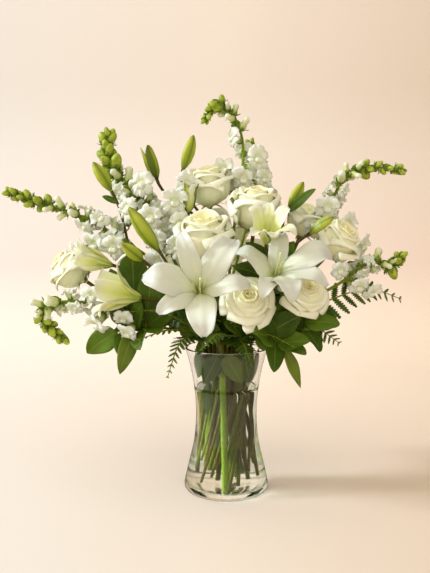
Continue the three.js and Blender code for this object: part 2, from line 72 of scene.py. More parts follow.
BUNDLE_CENTRE = (0, 4)
RIM_HEIGHT = 200
TWIST = math.radians(-85)
RING = {"centre": 0, "inner": 11.5, "middle": 23, "outer": 34}
# The most that a stem has been cut short, as a share of its way from the vase's floor to the rim.
LONGEST_CUT = 0.2
FRONT_STEM = ((-2, -40, VASE_FLOOR + GAP), (-4, -33.8, 112), (-7, -40, RIM_HEIGHT))
STEM_RADIUS = {"lily": 4, "pedicel": 1.9, "rose": 2.8, "snapdragon": 2.2, "fern": 1.5, "sprig": 1.9}

# name: base of the head, facing, largest radius, height, rim place of the stem
ROSES = {
    "rose_front": ((20, -68, 262), (0.1, -0.84, 0.53), 37, 53, ("middle", 259)),
    "rose_front_right": ((92, -48, 269), (0.22, -0.8, 0.55), 35, 53, ("middle", 324)),
    "rose_behind_lily": ((-28, -44, 326), (-0.05, -0.32, 0.95), 40, 62, ("inner", 226)),
    "rose_upper": ((36, -14, 362), (0.08, -0.25, 0.96), 38, 63, ("inner", 298)),
    "rose_top_back": ((-23, 26, 396), (-0.05, -0.2, 0.98), 37, 56, ("inner", 154)),
    "rose_right": ((136, -10, 330), (0.5, -0.45, 0.74), 35, 54, ("middle", 357)),
    "rose_left": ((-194, 0, 294), (-0.78, -0.1, 0.6), 36, 54, ("outer", 180)),
    "rose_right_back": ((104, 34, 354), (0.25, -0.25, 0.93), 31, 47, ("inner", 10)),
    "rose_back_left": ((-70, 74, 292), (-0.45, 0.72, 0.52), 36, 54, ("middle", 128)),
    "rose_back_right": ((68, 78, 296), (0.42, 0.74, 0.52), 36, 54, ("middle", 62)),
}

# name: top of the trunk, its lean there, rim place (None for the stem at the front glass), and its leaves:
# root, tip, width
LILY_STEMS = {
    "lily_stem_front": (
        (-44, -66, 262), (-0.45, -0.35, 0.82), None,
        [((-44, -64, 256), (-92, -50, 296), 28), ((-42, -62, 252), (4, -52, 290), 26)]),
    "lily_stem_right": (
        (70, -36, 318), (0.25, -0.15, 0.95), ("middle", 291),
        [((85, -4, 390), (120, -14, 421), 13), ((64, -38, 296), (8, -60, 318), 30),
         ((66, -37, 304), (24, -52, 350), 26), ((70, -36, 316), (86, -62, 352), 20),
         ((62, -38, 290), (120, -30, 322), 28)]),
    "lily_stem_left": (
        (-118, -6, 304), (-0.6, 0.05, 0.8), ("middle", 226),
        [((-150, -6, 402), (-169, -12, 411), 9)]),
    "lily_stem_centre": ((-18, 52, 352), (-0.12, 0.25, 0.96), ("inner", 82), []),
}

# name: base, facing, whether it is young, petal length, its petals, broad and narrow in turn, and its
# stem. Each petal has its azimuth in degrees, how far it is open and its share of the length.
BLOOMS = {
    "lily_bloom_front": (
        (-35, -112, 289), (0, -0.93, 0.36), False, 84,
        [(53, 1, 1), (110, 0.92, 1), (171, 1, 0.93), (214, 1, 0.8), (276, 1, 0.84), (3, 1.05, 0.82)],
        "lily_stem_front"),
    "lily_bloom_right": (
        (58, -90, 300), (0.05, -0.7, 0.71), False, 80,
        [(163, 0.95, 0.82), (84, 0.72, 0.86), (10, 1, 1.02), (-26, 1.05, 0.93), (-74, 0.95, 0.9),
         (-112, 0.95, 0.78)],
        "lily_stem_right"),
    "lily_bloom_upright": (
        (48, -90, 350), (0.05, -0.5, 0.86), True, 56,
        [(23, 0.35, 0.98), (90, 0.55, 1), (150, 0.4, 0.95), (-127, 0.8, 0.85), (-82, 0.75, 0.8),
         (-33, 0.85, 0.92)],
        "lily_stem_right"),
    "lily_bloom_left": (
        (-112, -72, 279), (-0.93, -0.28, 0.2), True, 72,
        [(-60, 0.2, 1), (5, 1, 0.88), (60, 0.45, 0.95), (120, 0.45, 0.9), (180, 0.45, 0.95),
         (-122, 0.45, 0.95)],
        "lily_stem_front"),
    "lily_bloom_far_left": (
        (-152, -46, 320), (-0.9, -0.34, 0.3), True, 56,
        [(30, 0.16, 1), (90, 0.16, 1), (150, 0.16, 1), (210, 0.16, 1), (270, 0.16, 1), (330, 0.16, 1)],
        "lily_stem_left"),
    "lily_bloom_back": (
        (2, 112, 318), (0.05, 0.86, 0.5), False, 84,
        [(10, 1, 1), (70, 1, 1), (130, 1, 1), (190, 1, 1), (250, 1, 1), (310, 1, 1)],
        "lily_stem_centre"),
}

# name: base, tip, largest radius, how far the tip has split, stem
BUDS = {
    "lily_bud_top": ((-61, 26, 450), (-46, 26, 497), 8.5, 0, "lily_stem_centre"),
    "lily_bud_split": ((-100, 48, 438), (-115, 50, 484), 9.5, 0.5, "lily_stem_centre"),
    "lily_bud_upper_left": ((-158, -4, 419), (-181, -9, 457), 8.5, 0, "lily_stem_left"),
    "lily_bud_large": ((-88, -74, 341), (-123, -90, 395), 9.5, 0, "lily_stem_front"),
    "lily_bud_left": ((-108, -76, 328), (-132, -94, 350), 8, 0, "lily_stem_front"),
    "lily_bud_opening": ((-52, -18, 390), (-48, -24, 428), 9, 1, "lily_stem_centre"),
    "lily_bud_right": ((86, 0, 398), (105, 0, 431), 7.5, 0, "lily_stem_right"),
    "lily_bud_far_right": ((108, -50, 362), (136, -64, 383), 7, 0, "lily_stem_right"),
}

# name: the spike from its lowest flower to its tip, flower radius there, rim place, how much wider apart
# its open flowers stand, how much larger its buds are, and the open flowers beside the spike: place,
# facing, size
SNAPDRAGONS = {
    "snapdragon_left": (
        [(-138, -14, 350), (-175, -13, 373), (-213, -10, 390), (-258, -10, 403), (-299, -10, 418)],
        17, ("middle", 193), 1, 1,
        [((-168, -22, 352), (-0.5, -0.8, -0.3), 0.9), ((-146, -30, 345), (-0.2, -1, -0.1), 0.95),
         ((-190, -20, 344), (-0.7, -0.6, -0.4), 0.8), ((-128, -24, 330), (-0.3, -1, 0), 0.85),
         ((-136, 10, 372), (-0.2, -0.6, 0.8), 0.7)]),
    "snapdragon_left_low": (
        [(-150, -40, 268), (-190, -42, 272), (-236, -44, 268), (-246, -44, 250), (-215, -44, 218)],
        14, ("outer", 202.5), 1, 1.15,
        [((-160, -66, 258), (-0.5, -0.6, -0.6), 0.95), ((-130, -72, 262), (-0.2, -0.8, -0.55), 0.75),
         ((-120, -76, 244), (-0.5, -0.7, -0.5), 0.8), ((-172, -40, 286), (-0.3, -0.9, -0.3), 0.85)]),
    "snapdragon_upper_left": (
        [(-78, 2, 338), (-92, 8, 378), (-116, 20, 406), (-148, 30, 436), (-167, 30, 467), (-165, 30, 501)],
        17, ("middle", 160), 1, 1.4,
        [((-96, -20, 380), (-0.3, -1, 0.1), 1), ((-75, -16, 398), (0.3, -0.9, 0.3), 1),
         ((-92, -24, 354), (-0.2, -1, -0.1), 0.9), ((-72, -22, 372), (0.5, -0.9, 0.1), 0.9),
         ((-68, -28, 345), (0.2, -1, 0), 0.9), ((-86, -28, 328), (-0.3, -1, -0.2), 0.9),
         ((-124, -4, 392), (-0.6, -0.8, 0.1), 0.95), ((-112, -2, 420), (-0.2, -0.9, 0.4), 0.95),
         ((-60, -4, 420), (0.4, -0.8, 0.5), 0.9), ((-132, 4, 414), (-0.8, -0.5, 0.3), 0.8)]),
    "snapdragon_top": (
        [(20, 62, 430), (25, 66, 468), (22, 68, 504), (6, 70, 534), (-13, 70, 548), (-32, 70, 521)],
        18, ("centre", 0), 1.9, 1,
        [((38, 42, 462), (0.4, -0.9, 0.2), 0.95), ((4, 44, 446), (-0.5, -0.8, 0.2), 0.95),
         ((24, 38, 436), (0, -1, 0), 0.9), ((-6, 46, 424), (-0.3, -0.9, 0.1), 0.9),
         ((46, 46, 436), (0.5, -0.8, 0.1), 0.85)]),
    "snapdragon_right": (
        [(148, 62, 380), (157, 60, 412), (174, 54, 444), (204, 46, 454), (252, 36, 449)],
        14, ("middle", 30), 1.3, 1,
        [((138, 24, 392), (0.1, -1, 0.2), 0.95), ((158, 16, 372), (0.6, -0.8, 0.1), 0.95),
         ((174, 6, 344), (0.8, -0.6, 0), 0.9), ((168, -4, 318), (0.6, -0.8, -0.2), 0.85),
         ((126, 20, 366), (-0.2, -1, 0.1), 0.85)]),
    "snapdragon_right_low": (
        [(160, -28, 300), (184, -26, 318), (210, -22, 322), (226, -18, 318), (238, -16, 334)],
        12, ("outer", 0), 1, 1,
        [((148, -36, 312), (0.1, -1, 0.1), 0.68), ((170, -38, 298), (0.3, -0.9, -0.4), 0.8),
         ((186, -36, 290), (0.5, -0.8, -0.5), 0.7)]),
    "snapdragon_back": (
        [(34, 90, 392), (38, 106, 425), (40, 114, 460), (38, 116, 498)],
        17, ("middle", 95), 1, 1,
        [((14, 100, 420), (-0.8, 0.2, 0.3), 0.9), ((56, 104, 410), (0.8, 0.3, 0.2), 0.9)]),
}

# name: the midrib outside the vase, the longest side leaflet, rim place, the way the flat of a frond
# faces, and more fronds that branch off where the first one starts: how each goes on from there
FERNS = {
    "fern_front": (
        [(6, -56, 226), (20, -84, 222), (30, -104, 196)],
        26, ("outer", 270), (0, 0, 1),
        [[(-12, -92, 236), (-34, -118, 220)], [(46, -90, 236), (86, -104, 220)]]),
    "fern_front_left": (
        [(-34, -60, 230), (-60, -88, 224), (-76, -104, 182)],
        24, ("outer", 247.5), (0, 0, 1),
        [[(-72, -86, 240), (-118, -98, 228)], [(-84, -78, 262), (-136, -84, 262)]]),
    "fern_right": (
        [(70, -20, 236), (140, -28, 272), (192, -26, 286), (238, -22, 272)],
        36, ("outer", 337.5), (0, -0.75, 0.66),
        [[(112, -50, 240), (146, -70, 220)]]),
    "fern_back_right": (
        [(44, 70, 232), (82, 112, 244), (104, 140, 226)],
        34, ("outer", 67.5), (0, 0, 1),
        [[(54, 116, 250), (50, 152, 240)]]),
    "fern_back_left": (
        [(-36, 78, 236), (-66, 122, 250), (-84, 152, 232)],
        34, ("outer", 112.5), (0, 0, 1),
        [[(-100, 96, 262), (-150, 110, 252)]]),
}

# name: the twig outside the vase, its leaves (place along the twig, tip, width), rim place, and leaves
# inside the vase's neck and in the water (root, tip, width)
SPRIGS = {
    "sprig_front_left": (
        [(-56, -44, 232), (-100, -62, 240), (-140, -66, 236)],
        [(1, (-184, -60, 205), 34), (1, (-131, -86, 198), 24), (0.75, (-136, -100, 186), 24),
         (0.75, (-126, -42, 350), 42), (0.5, (-88, -92, 236), 32), (0.9, (-152, -56, 316), 36),
         (0.6, (-96, -60, 322), 36)],
        ("outer", 225),
        [((-27, -31, 156), (-26, -27, 112), 15), ((-12, -46, 200), (-30, -32, 158), 26)]),
    "sprig_front_right": (
        [(28, -54, 230), (52, -76, 232), (70, -84, 220)],
        [(1, (94, -84, 164), 18), (0.75, (58, -106, 190), 26), (0.75, (98, -104, 212), 26)],
        ("outer", 292.5),
        [((-2, -48, 200), (20, -38, 160), 30), ((24, -40, 199), (30, -30, 158), 24)]),
    "sprig_right": (
        [(52, -32, 234), (78, -50, 246), (96, -62, 246)],
        [(1, (120, -76, 210), 36), (1, (146, -66, 244), 34), (0.5, (116, -30, 224), 34)],
        ("outer", 315),
        [((30, -21, 126), (35, -16, 72), 10), ((42, -22, 199), (34, -20, 158), 24)]),
    "sprig_left": (
        [(-58, 28, 232), (-92, 36, 238), (-120, 38, 234)],
        [(1, (-166, 24, 214), 36), (0.75, (-150, 64, 228), 34), (0.5, (-122, 6, 226), 34)],
        ("outer", 157.5),
        [((-44, 2, 199), (-36, 12, 158), 24), ((-36, -28, 200), (-40, -6, 160), 22)]),
    "sprig_back_left": (
        [(-60, 62, 240), (-92, 88, 252), (-118, 104, 246)],
        [(1, (-166, 122, 226), 38), (0.75, (-128, 142, 232), 34), (0.5, (-152, 68, 262), 38)],
        ("outer", 135),
        [((-26, 40, 199), (-20, 34, 152), 26)]),
    "sprig_back": (
        [(2, 66, 236), (4, 96, 240), (6, 118, 226)],
        [(1, (16, 146, 180), 34), (0.75, (-26, 144, 214), 32), (0.5, (44, 128, 224), 32)],
        ("outer", 90),
        [((4, 50, 200), (8, 40, 152), 28)]),
    "sprig_back_right": (
        [(62, 50, 240), (98, 70, 252), (124, 82, 244)],
        [(1, (170, 92, 218), 38), (0.75, (146, 118, 240), 34), (0.5, (140, 36, 262), 36)],
        ("outer", 45),
        [((34, 30, 199), (28, 26, 152), 26), ((46, 6, 199), (38, 8, 156), 24)]),
}

# The way the leaves of a sprig face, where that isn't outwards and up.
SPRIG_FACING = {"sprig_front_left": (0.3, -0.9, 0.3)}
# The sprigs' olive green leaves, by number: outside the vase, and in its neck.
OLIVE_LEAVES = {("sprig_front_left", 2), ("sprig_front_right", 0)}
OLIVE_VASE_LEAF = ("sprig_front_right", 0)

# ---------------------------------------------------------------- forms

# How far up a snapdragon's spike its flowers are open, and how far its buds are pale.
OPEN_UNTIL = 0.4
PALE_UNTIL = 0.66
# How many kinds of open flower a spike has, and how large they are before they are scaled.
FLORETS = 4
FLORET_RADIUS = 17

ROSE_PETALS = 19
# Rows of shares of a rose's radius and height, from the heart (0) to the outermost petal (1): how far out
# the rim of a petal stands, how high, and how far it turns outwards.
ROSE_STAGES = [0, 0.2, 0.45, 0.65, 0.85, 1]
ROSE_GOBLET = [[0.05, 0.19, 0.42, 0.62, 0.77, 0.84],
               [0.93, 0.98, 1, 0.96, 0.86, 0.7],
               [-0.02, 0.01, 0.06, 0.12, 0.18, 0.24]]
ROSE_DOME = [[0.05, 0.16, 0.35, 0.51, 0.66, 0.75],
             [0.97, 1, 0.95, 0.86, 0.72, 0.56],
             [-0.01, 0.04, 0.12, 0.19, 0.25, 0.3]]
# The solid heart: radius and height, as shares too.
ROSE_CORE = [(0, 0.08), (0.38, 0.12), (0.66, 0.32), (0.74, 0.52), (0.7, 0.68), (0.56, 0.81), (0.38, 0.89),
             (0.2, 0.91), (0.06, 0.87), (0, 0.86)]

LILY_LENGTH = 84
# The middle line of a lily petal: mm out from the axis when it is LILY_LENGTH long, share of the length up.
LILY_SHUT = [(1.5, 0), (7, 0.3), (12, 0.58), (17, 0.82), (25, 1)]
LILY_FLAT = [(1.5, 0), (8, 0.26), (26, 0.48), (52, 0.6), (72, 0.52)]

# How strongly a stem keeps to its way before it bends.
BEND_REACH = 0.36
PINNA_PAIRS = 13
SEPALS = 5
# Corners round the vase and the water.
ROUND_GLASS = 128

# ---------------------------------------------------------------- looks, in metres

PETAL_SCATTER = (0.009, 0.008, 0.005)
LEAF_SCATTER = (0.002, 0.004, 0.001)
BUD_SCATTER = (0.003, 0.004, 0.001)
BUMP_DEPTH = 0.001
# Where the colours of a stem lie between its darkest and its brightest tint.
STEM_STOPS = (0, 0.35, 0.7, 1)

CAMERA_BACK = 0.95
CAMERA_PLACE = (-0.016, -CAMERA_BACK, 0.38)
CAMERA_PITCH = math.radians(5.58)
FOCAL_PIXELS = 687
FRAME_PIXELS = 573
SENSOR = 36
SUN_DISTANCE = 3


# ---------------------------------------------------------------- vectors and curves

def unit(v):
    v = np.asarray(v, float)
    return v / np.linalg.norm(v)


def smoothstep(t):
    t = np.clip(t, 0, 1)
    return t * t * (3 - 2 * t)


def lerp(a, b, t):
    return a + (b - a) * t


def direction(azimuth, rise=0.0):
    return np.array([math.cos(azimuth), math.sin(azimuth), rise])


def bend(start, start_way, end, end_way, count):
    """The smooth way from one place and direction to another, a Bezier curve."""
    start, end = np.asarray(start, float), np.asarray(end, float)
    reach = np.linalg.norm(end - start) * BEND_REACH
    near, far = start + unit(start_way) * reach, end - unit(end_way) * reach
    t = np.linspace(0, 1, count)[:, None]
    s = 1 - t
    return s**3 * start + 3 * s * s * t * near + 3 * s * t * t * far + t**3 * end


def spline(points, count):
    """A Catmull-Rom curve through points, sampled evenly in its parameter."""
    p = np.asarray(points, float)
    p = np.vstack([2 * p[0] - p[1], p, 2 * p[-1] - p[-2]])
    spans = len(p) - 3
    out = []
    for t in np.linspace(0, spans, count):
        i = min(int(t), spans - 1)
        u = t - i
        a, b, c, d = p[i : i + 4]
        square, cube = 2 * a - 5 * b + 4 * c - d, 3 * b - a - 3 * c + d
        out.append(0.5 * (2 * b + (c - a) * u + square * u**2 + cube * u**3))
    return np.array(out)


def tangents(path):
    way = np.gradient(path, axis=0)
    return way / np.linalg.norm(way, axis=1)[:, None]


def carried_sides(path, hint):
    """A side direction at each point of a path, turned as little as possible from one to the next."""
    ways = tangents(path)
    side = np.asarray(hint, float)
    sides = []
    for way in ways:
        side = unit(side - way * side.dot(way))
        sides.append(side)
    return ways, np.array(sides)


def spin(turn):
    c, s = math.cos(turn), math.sin(turn)
    return np.array([[c, -s, 0], [s, c, 0], [0, 0, 1]])


def facing_along(axis, origin, turn=0.0):
    """Puts points of a piece's own frame, +Z out of it, where it grows and facing along axis."""
    tilt = np.array(Vector((0, 0, 1)).rotation_difference(Vector(unit(axis))).to_matrix())
    return lambda spots: spots @ (tilt @ spin(turn)).T + np.asarray(origin, float)


def facing_upright(axis, up, origin, scale=1.0):
    """The same, with the piece's +Y as near to up as it goes, and the piece scaled."""
    z = unit(axis)
    y = np.asarray(up, float) - z * np.dot(up, z)
    y = unit(y) if np.linalg.norm(y) > 1e-3 else unit(np.cross(z, (1, 0.3, 0.2)))
    basis = np.array([np.cross(y, z), y, z])
    return lambda spots: (spots * scale) @ basis + np.asarray(origin, float)


def polar(r, angle, z):
    """Places by their distance from the Z axis, their angle round it and their height."""
    return np.stack([r * np.cos(angle), r * np.sin(angle), z], axis=-1)


def sheet(path, side, up, across, lift):
    """A grid of places: rows along a path, each going across to its side and lifted off it."""
    return path[:, None] + across[..., None] * side[:, None] + lift[..., None] * up[:, None]


# ---------------------------------------------------------------- shapes

class Shape:
    """A mesh being put together from closed parts, in mm. Each corner carries a mark: how far along
    the petal, leaf or stem it is, how far across, and a tint of its own."""

    def __init__(self):
        self.parts = []

    def add(self, spots, faces, marks, finish):
        self.parts.append((spots, faces, marks, finish))

    def skin(self, grid, thickness, finish, tint=0.0, thin_edge=0.35, base=0.0):
        """A closed thin skin: rows run along the petal or leaf, columns across it."""
        rows, columns, _ = grid.shape
        normal = np.cross(np.gradient(grid, axis=0), np.gradient(grid, axis=1))
        normal /= np.linalg.norm(normal, axis=2)[:, :, None] + 1e-9
        v = np.linspace(-1, 1, columns)
        u = np.linspace(base, 1, rows)
        half = 0.5 * thickness * (thin_edge + (1 - thin_edge) * (1 - v**4))
        end = 1 - (1 - thin_edge) * np.linspace(0, 1, rows) ** 8
        lift = normal * (end[:, None] * half)[:, :, None]
        spots = np.concatenate([(grid + lift).reshape(-1, 3), (grid - lift).reshape(-1, 3)])
        one = np.stack(np.broadcast_arrays(u[:, None], v[None, :], tint), axis=2).reshape(-1, 3)
        at = np.arange(rows * columns).reshape(rows, columns)
        under = rows * columns
        a, b, c, d = at[:-1, :-1], at[1:, :-1], at[1:, 1:], at[:-1, 1:]
        border = np.concatenate([at[0], at[1:, -1], at[-1, -2::-1], at[-2:0:-1, 0]])
        after = np.roll(border, -1)
        faces = np.concatenate([
            np.stack([a, b, c, d], axis=-1).reshape(-1, 4),
            np.stack([d, c, b, a], axis=-1).reshape(-1, 4) + under,
            np.stack([border, after, after + under, border + under], axis=-1),
        ])
        self.add(spots, faces.tolist(), np.concatenate([one, one]), finish)

    def rings(self, rings, ends, marks, finish):
        """A closed body over rings of corners, with one more corner in the middle of either end."""
        count, sides, _ = rings.shape
        here = np.arange(count * sides).reshape(count, sides)
        after = np.roll(here, -1, axis=1)
        first, last = np.full(sides, count * sides), np.full(sides, count * sides + 1)
        faces = np.stack([here[:-1], after[:-1], after[1:], here[1:]], axis=-1).reshape(-1, 4).tolist()
        faces += np.stack([first, after[0], here[0]], axis=-1).tolist()
        faces += np.stack([last, here[-1], after[-1]], axis=-1).tolist()
        self.add(np.concatenate([rings.reshape(-1, 3), ends]), faces, marks, finish)

    def tube(self, path, radii, sides, finish, tint=0.0, hint=(1, 0, 0.01), level_start=False, lobes=None,
             base=0.0):
        """A closed round body along a path. lobes(angle, share along) scales the radius."""
        path = np.asarray(path, float)
        radii = np.broadcast_to(radii, len(path))
        tints = np.broadcast_to(tint, len(path))
        ways, side = carried_sides(path, hint)
        if level_start:
            ways[0] = (0, 0, 1)
            side[0] = unit(side[0] * (1, 1, 0))
        up = np.cross(ways, side)
        angles = np.arange(sides) * 2 * math.pi / sides
        share = (np.arange(len(path)) / (len(path) - 1))[:, None]
        radius = radii[:, None] * (1 if lobes is None else lobes(angles, share))
        rings = sheet(path, side, up, radius * np.cos(angles), radius * np.sin(angles))
        marks = np.stack(np.broadcast_arrays(
            base + (1 - base) * share, 0.5 + 0.5 * np.cos(angles * 3), tints[:, None]), axis=2)
        ends = [(0, 0, tints[0]), (1, 0, tints[-1])]
        self.rings(rings, path[[0, -1]], np.concatenate([marks.reshape(-1, 3), ends]), finish)

    def turn_profile(self, profile, sides, finish, along=(0, 0), tint=0.0):
        """A closed body turned about Z. The profile starts and ends on the axis."""
        angles = np.arange(sides) * 2 * math.pi / sides
        ring = polar(1, angles, np.zeros(sides))
        rings = np.array([ring * r + (0, 0, z) for r, z in profile[1:-1]])
        ends = [(0, 0, profile[0][1]), (0, 0, profile[-1][1])]
        height = np.concatenate([rings.reshape(-1, 3), ends])[:, 2]
        share = (height - height.min()) / (height.max() - height.min())
        marks = np.stack([lerp(*along, share), 0 * share, 0 * share + tint], axis=1)
        self.rings(rings, ends, marks, finish)

    def merge(self, other, place):
        """Adds a copy of another shape, put in place."""
        for spots, faces, marks, finish in other.parts:
            self.add(place(spots), faces, marks, finish)


def add_piece(name, shape, slot, *nodes):
    """Makes a shape's mesh, in metres with a mark on every corner, in place of nodes of the frame."""
    finishes = sorted({finish for *_, finish in shape.parts})
    faces, picks = [], []
    count = 0
    for spots, part_faces, _, finish in shape.parts:
        faces += [[corner + count for corner in face] for face in part_faces]
        picks += [finishes.index(finish)] * len(part_faces)
        count += len(spots)
    mesh = bpy.data.meshes.new(name)
    mesh.from_pydata((np.concatenate([part[0] for part in shape.parts]) * MM).tolist(), [], faces)
    for finish in finishes:
        mesh.materials.append(MATERIALS[finish])
    mesh.polygons.foreach_set("material_index", picks)
    mesh.polygons.foreach_set("use_smooth", [True] * len(faces))
    mark = mesh.attributes.new("mark", "FLOAT_VECTOR", "POINT")
    mark.data.foreach_set("vector", np.concatenate([part[2] for part in shape.parts]).ravel())
    mesh.validate()
    mesh.update()
    piece = show(bpy.data.objects.new(name, mesh))
    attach(piece, "root")
    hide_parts(*nodes)


def show(thing):
    bpy.context.scene.collection.objects.link(thing)
    return thing


# ---------------------------------------------------------------- materials

class Value:
    """What a node works out. It can be used in sums and as an input of other nodes."""

    def __init__(self, socket):
        self.socket = socket

    def maths(self, kind, *values, clamp=False):
        return node(self.socket.id_data, "ShaderNodeMath", 0, dict(enumerate((self, *values))),
                    operation=kind, use_clamp=clamp)

    def __add__(self, other):
        return self.maths("ADD", other)

    def __sub__(self, other):
        return self.maths("SUBTRACT", other)

    def __mul__(self, other):
        return self.maths("MULTIPLY", other)

    def __truediv__(self, other):
        return self.maths("DIVIDE", other)

    def __abs__(self):
        return self.maths("ABSOLUTE")

    def fading(self, rate=1.0, clamp=True):
        """1 where the value is nought, less as it grows."""
        falling = self * rate if rate != 1 else self
        return node(self.socket.id_data, "ShaderNodeMath", 0, {0: 1.0, 1: falling}, operation="SUBTRACT",
                    use_clamp=clamp)


def plug(target, value):
    """Gives an input what another node works out, or a value of its own."""
    if isinstance(value, Value):
        target.id_data.links.new(value.socket, target)
    else:
        target.default_value = (*value, 1) if target.type == "RGBA" else value


def node(tree, kind, output, inputs=None, **settings):
    """Adds a node and hands back one of its outputs."""
    made = tree.nodes.new(kind)
    for key, value in settings.items():
        setattr(made, key, value)
    for key, value in (inputs or {}).items():
        plug(made.inputs[key], value)
    return Value(made.outputs[output])


class Look:
    """A material being put together."""

    def __init__(self, name, **uniform):
        self.material = bpy.data.materials.new(name)
        self.material.use_nodes = True
        self.tree = self.material.node_tree
        self.shader = self.tree.nodes["Principled BSDF"]
        self.give(**uniform)

    def give(self, **inputs):
        """Sets inputs of the shader. An underscore stands for a space in their names."""
        for key, value in inputs.items():
            plug(self.shader.inputs[key.replace("_", " ")], value)

    def soften(self, weight, radius=PETAL_SCATTER, reach=0.5):
        """Lets light through thin petals and leaves."""
        self.give(Subsurface_Weight=weight, Subsurface_Radius=radius, Subsurface_Scale=reach)

    def marks(self):
        """The corner marks as a vector, and as numbers: along, across and tint."""
        vector = node(self.tree, "ShaderNodeAttribute", "Vector", attribute_name="mark")
        return vector, *self.parts(vector)

    def parts(self, vector):
        split = node(self.tree, "ShaderNodeSeparateXYZ", 0, {0: vector}).socket.node
        return [Value(part) for part in split.outputs]

    def place(self):
        return node(self.tree, "ShaderNodeTexCoord", "Object")

    def noise(self, scale, detail=2.0, vector=None, stretch=None):
        vector = vector or self.place()
        if stretch:
            vector = node(self.tree, "ShaderNodeMapping", "Vector", {"Vector": vector, "Scale": stretch})
        inputs = {"Vector": vector, "Scale": scale, "Detail": detail}
        return node(self.tree, "ShaderNodeTexNoise", "Fac", inputs)

    def mix(self, factor, a, b, mode="MIX"):
        inputs = {0: factor, 6: a, 7: b}
        return node(self.tree, "ShaderNodeMix", 2, inputs, data_type="RGBA", blend_type=mode)

    def ramp(self, source, *stops):
        """Colours by a value. Each stop is a place and a colour."""
        made = self.tree.nodes.new("ShaderNodeValToRGB")
        elements = made.color_ramp.elements
        while len(elements) < len(stops):
            elements.new(1)
        for element, (place, colour) in zip(elements, stops):
            element.position = place
            element.color = (*colour, 1)
        plug(made.inputs["Fac"], source)
        return Value(made.outputs["Color"])

    def finish(self, colour, height, bump):
        """Gives the shader its colour and its bumps, and ends the work."""
        normal = node(self.tree, "ShaderNodeBump", "Normal",
                      {"Strength": bump, "Distance": BUMP_DEPTH, "Height": height})
        self.give(Base_Color=colour, Normal=normal)
        return self.material


def petal_material(name, stops, whiter_edge, bump, roughness, scatter):
    """A petal: colour along it, whiter at its edges, a green midrib and faint lengthwise veins."""
    look = Look(name, Roughness=roughness)
    vector, along, across, _ = look.marks()
    side = abs(across)
    colour = look.ramp(along + side * whiter_edge, *stops)
    veins = look.noise(1.0, vector=vector, stretch=(1.6, 8.0, 9.0))
    broad = look.noise(90.0)
    rib = side.fading(9.0) * along.fading(clamp=False)
    colour = look.mix(rib * 0.45, colour, (0.62, 0.72, 0.3))
    colour = look.mix(veins * 0.14, colour, (0.78, 0.8, 0.6), "MULTIPLY")
    colour = look.mix(broad * 0.1, colour, (0.86, 0.84, 0.72), "MULTIPLY")
    look.soften(scatter)
    return look.finish(colour, veins + broad * 0.4 - rib, bump)


def rose_material():
    """Ivory petals, yellower at their feet and warmer at the heart: partly the rose's own tone, partly
    painted warm light for the glow in the crevices. Tint is 0 at the heart and 1 at the outermost petal.
    """
    look = Look("rose_petal", Roughness=0.62, Sheen_Weight=0.15)
    vector, along, _, tint = look.marks()
    # Yellow at the foot of each petal and at the heart: partly the rose's own tone, partly painted warm
    # light standing in for light that glows through the petals into the crevices.
    outer = look.ramp(along, (0, (0.84, 0.88, 0.42)), (0.4, (0.96, 0.965, 0.68)),
                      (0.75, (0.965, 0.965, 0.74)), (1, (0.95, 0.94, 0.72)))
    heart = look.ramp(along, (0, (0.98, 0.76, 0.25)), (0.6, (0.98, 0.87, 0.4)), (1, (0.975, 0.91, 0.52)))
    warmth = ((0, 1), (0.3, 0.6), (0.55, 0.18), (0.75, 0))
    warm = look.ramp(tint, *[(place, (grey,) * 3) for place, grey in warmth])
    veins = look.noise(1.0, 3.0, vector, stretch=(2.0, 7.0, 31.0))
    colour = look.mix(veins * 0.12, look.mix(warm, outer, heart), (0.8, 0.8, 0.62), "MULTIPLY")
    look.soften(0.12, reach=0.3)
    return look.finish(colour, veins, 0.1)


def leaf_material(name, dark, light, vein, gloss, bump):
    """A leaf: a pale midrib with slanting side veins, patches of lighter and darker green."""
    look = Look(name, Specular_IOR_Level=0.32)
    _, along, across, tint = look.marks()
    side = abs(across)
    patches = look.noise(45.0, 3.0)
    green = look.ramp(patches * 0.6 + tint * 0.5, (0.2, dark), (0.8, light))
    slant = along * 9.0 - side * 2.2
    side_veins = abs((slant * math.pi).maths("SINE")).fading(7.0)
    veins = side.fading(16.0).maths("MAXIMUM", side_veins * 0.45)
    look.give(Roughness=look.ramp(patches, (0.3, (gloss,) * 3), (0.7, (gloss + 0.16,) * 3)))
    look.soften(0.05, LEAF_SCATTER)
    return look.finish(look.mix(veins * 0.55, green, vein), patches - veins, bump)


def stem_material(name, stops):
    """A stem: colour by the stem's tint, lengthwise streaks and small dark specks."""
    look = Look(name, Roughness=0.42, Specular_IOR_Level=0.25)
    *_, tint = look.marks()
    streaks = look.noise(60.0, 3.0, stretch=(8, 8, 0.6))
    specks = look.noise(400.0)
    colour = look.ramp(tint + (streaks - 0.5) * 0.5, *stops)
    dark = look.ramp(specks, (0.36, (0.55, 0.5, 0.35)), (0.5, (1, 1, 1)))
    return look.finish(look.mix(0.5, colour, dark, "MULTIPLY"), streaks + specks * 0.3, 0.25)


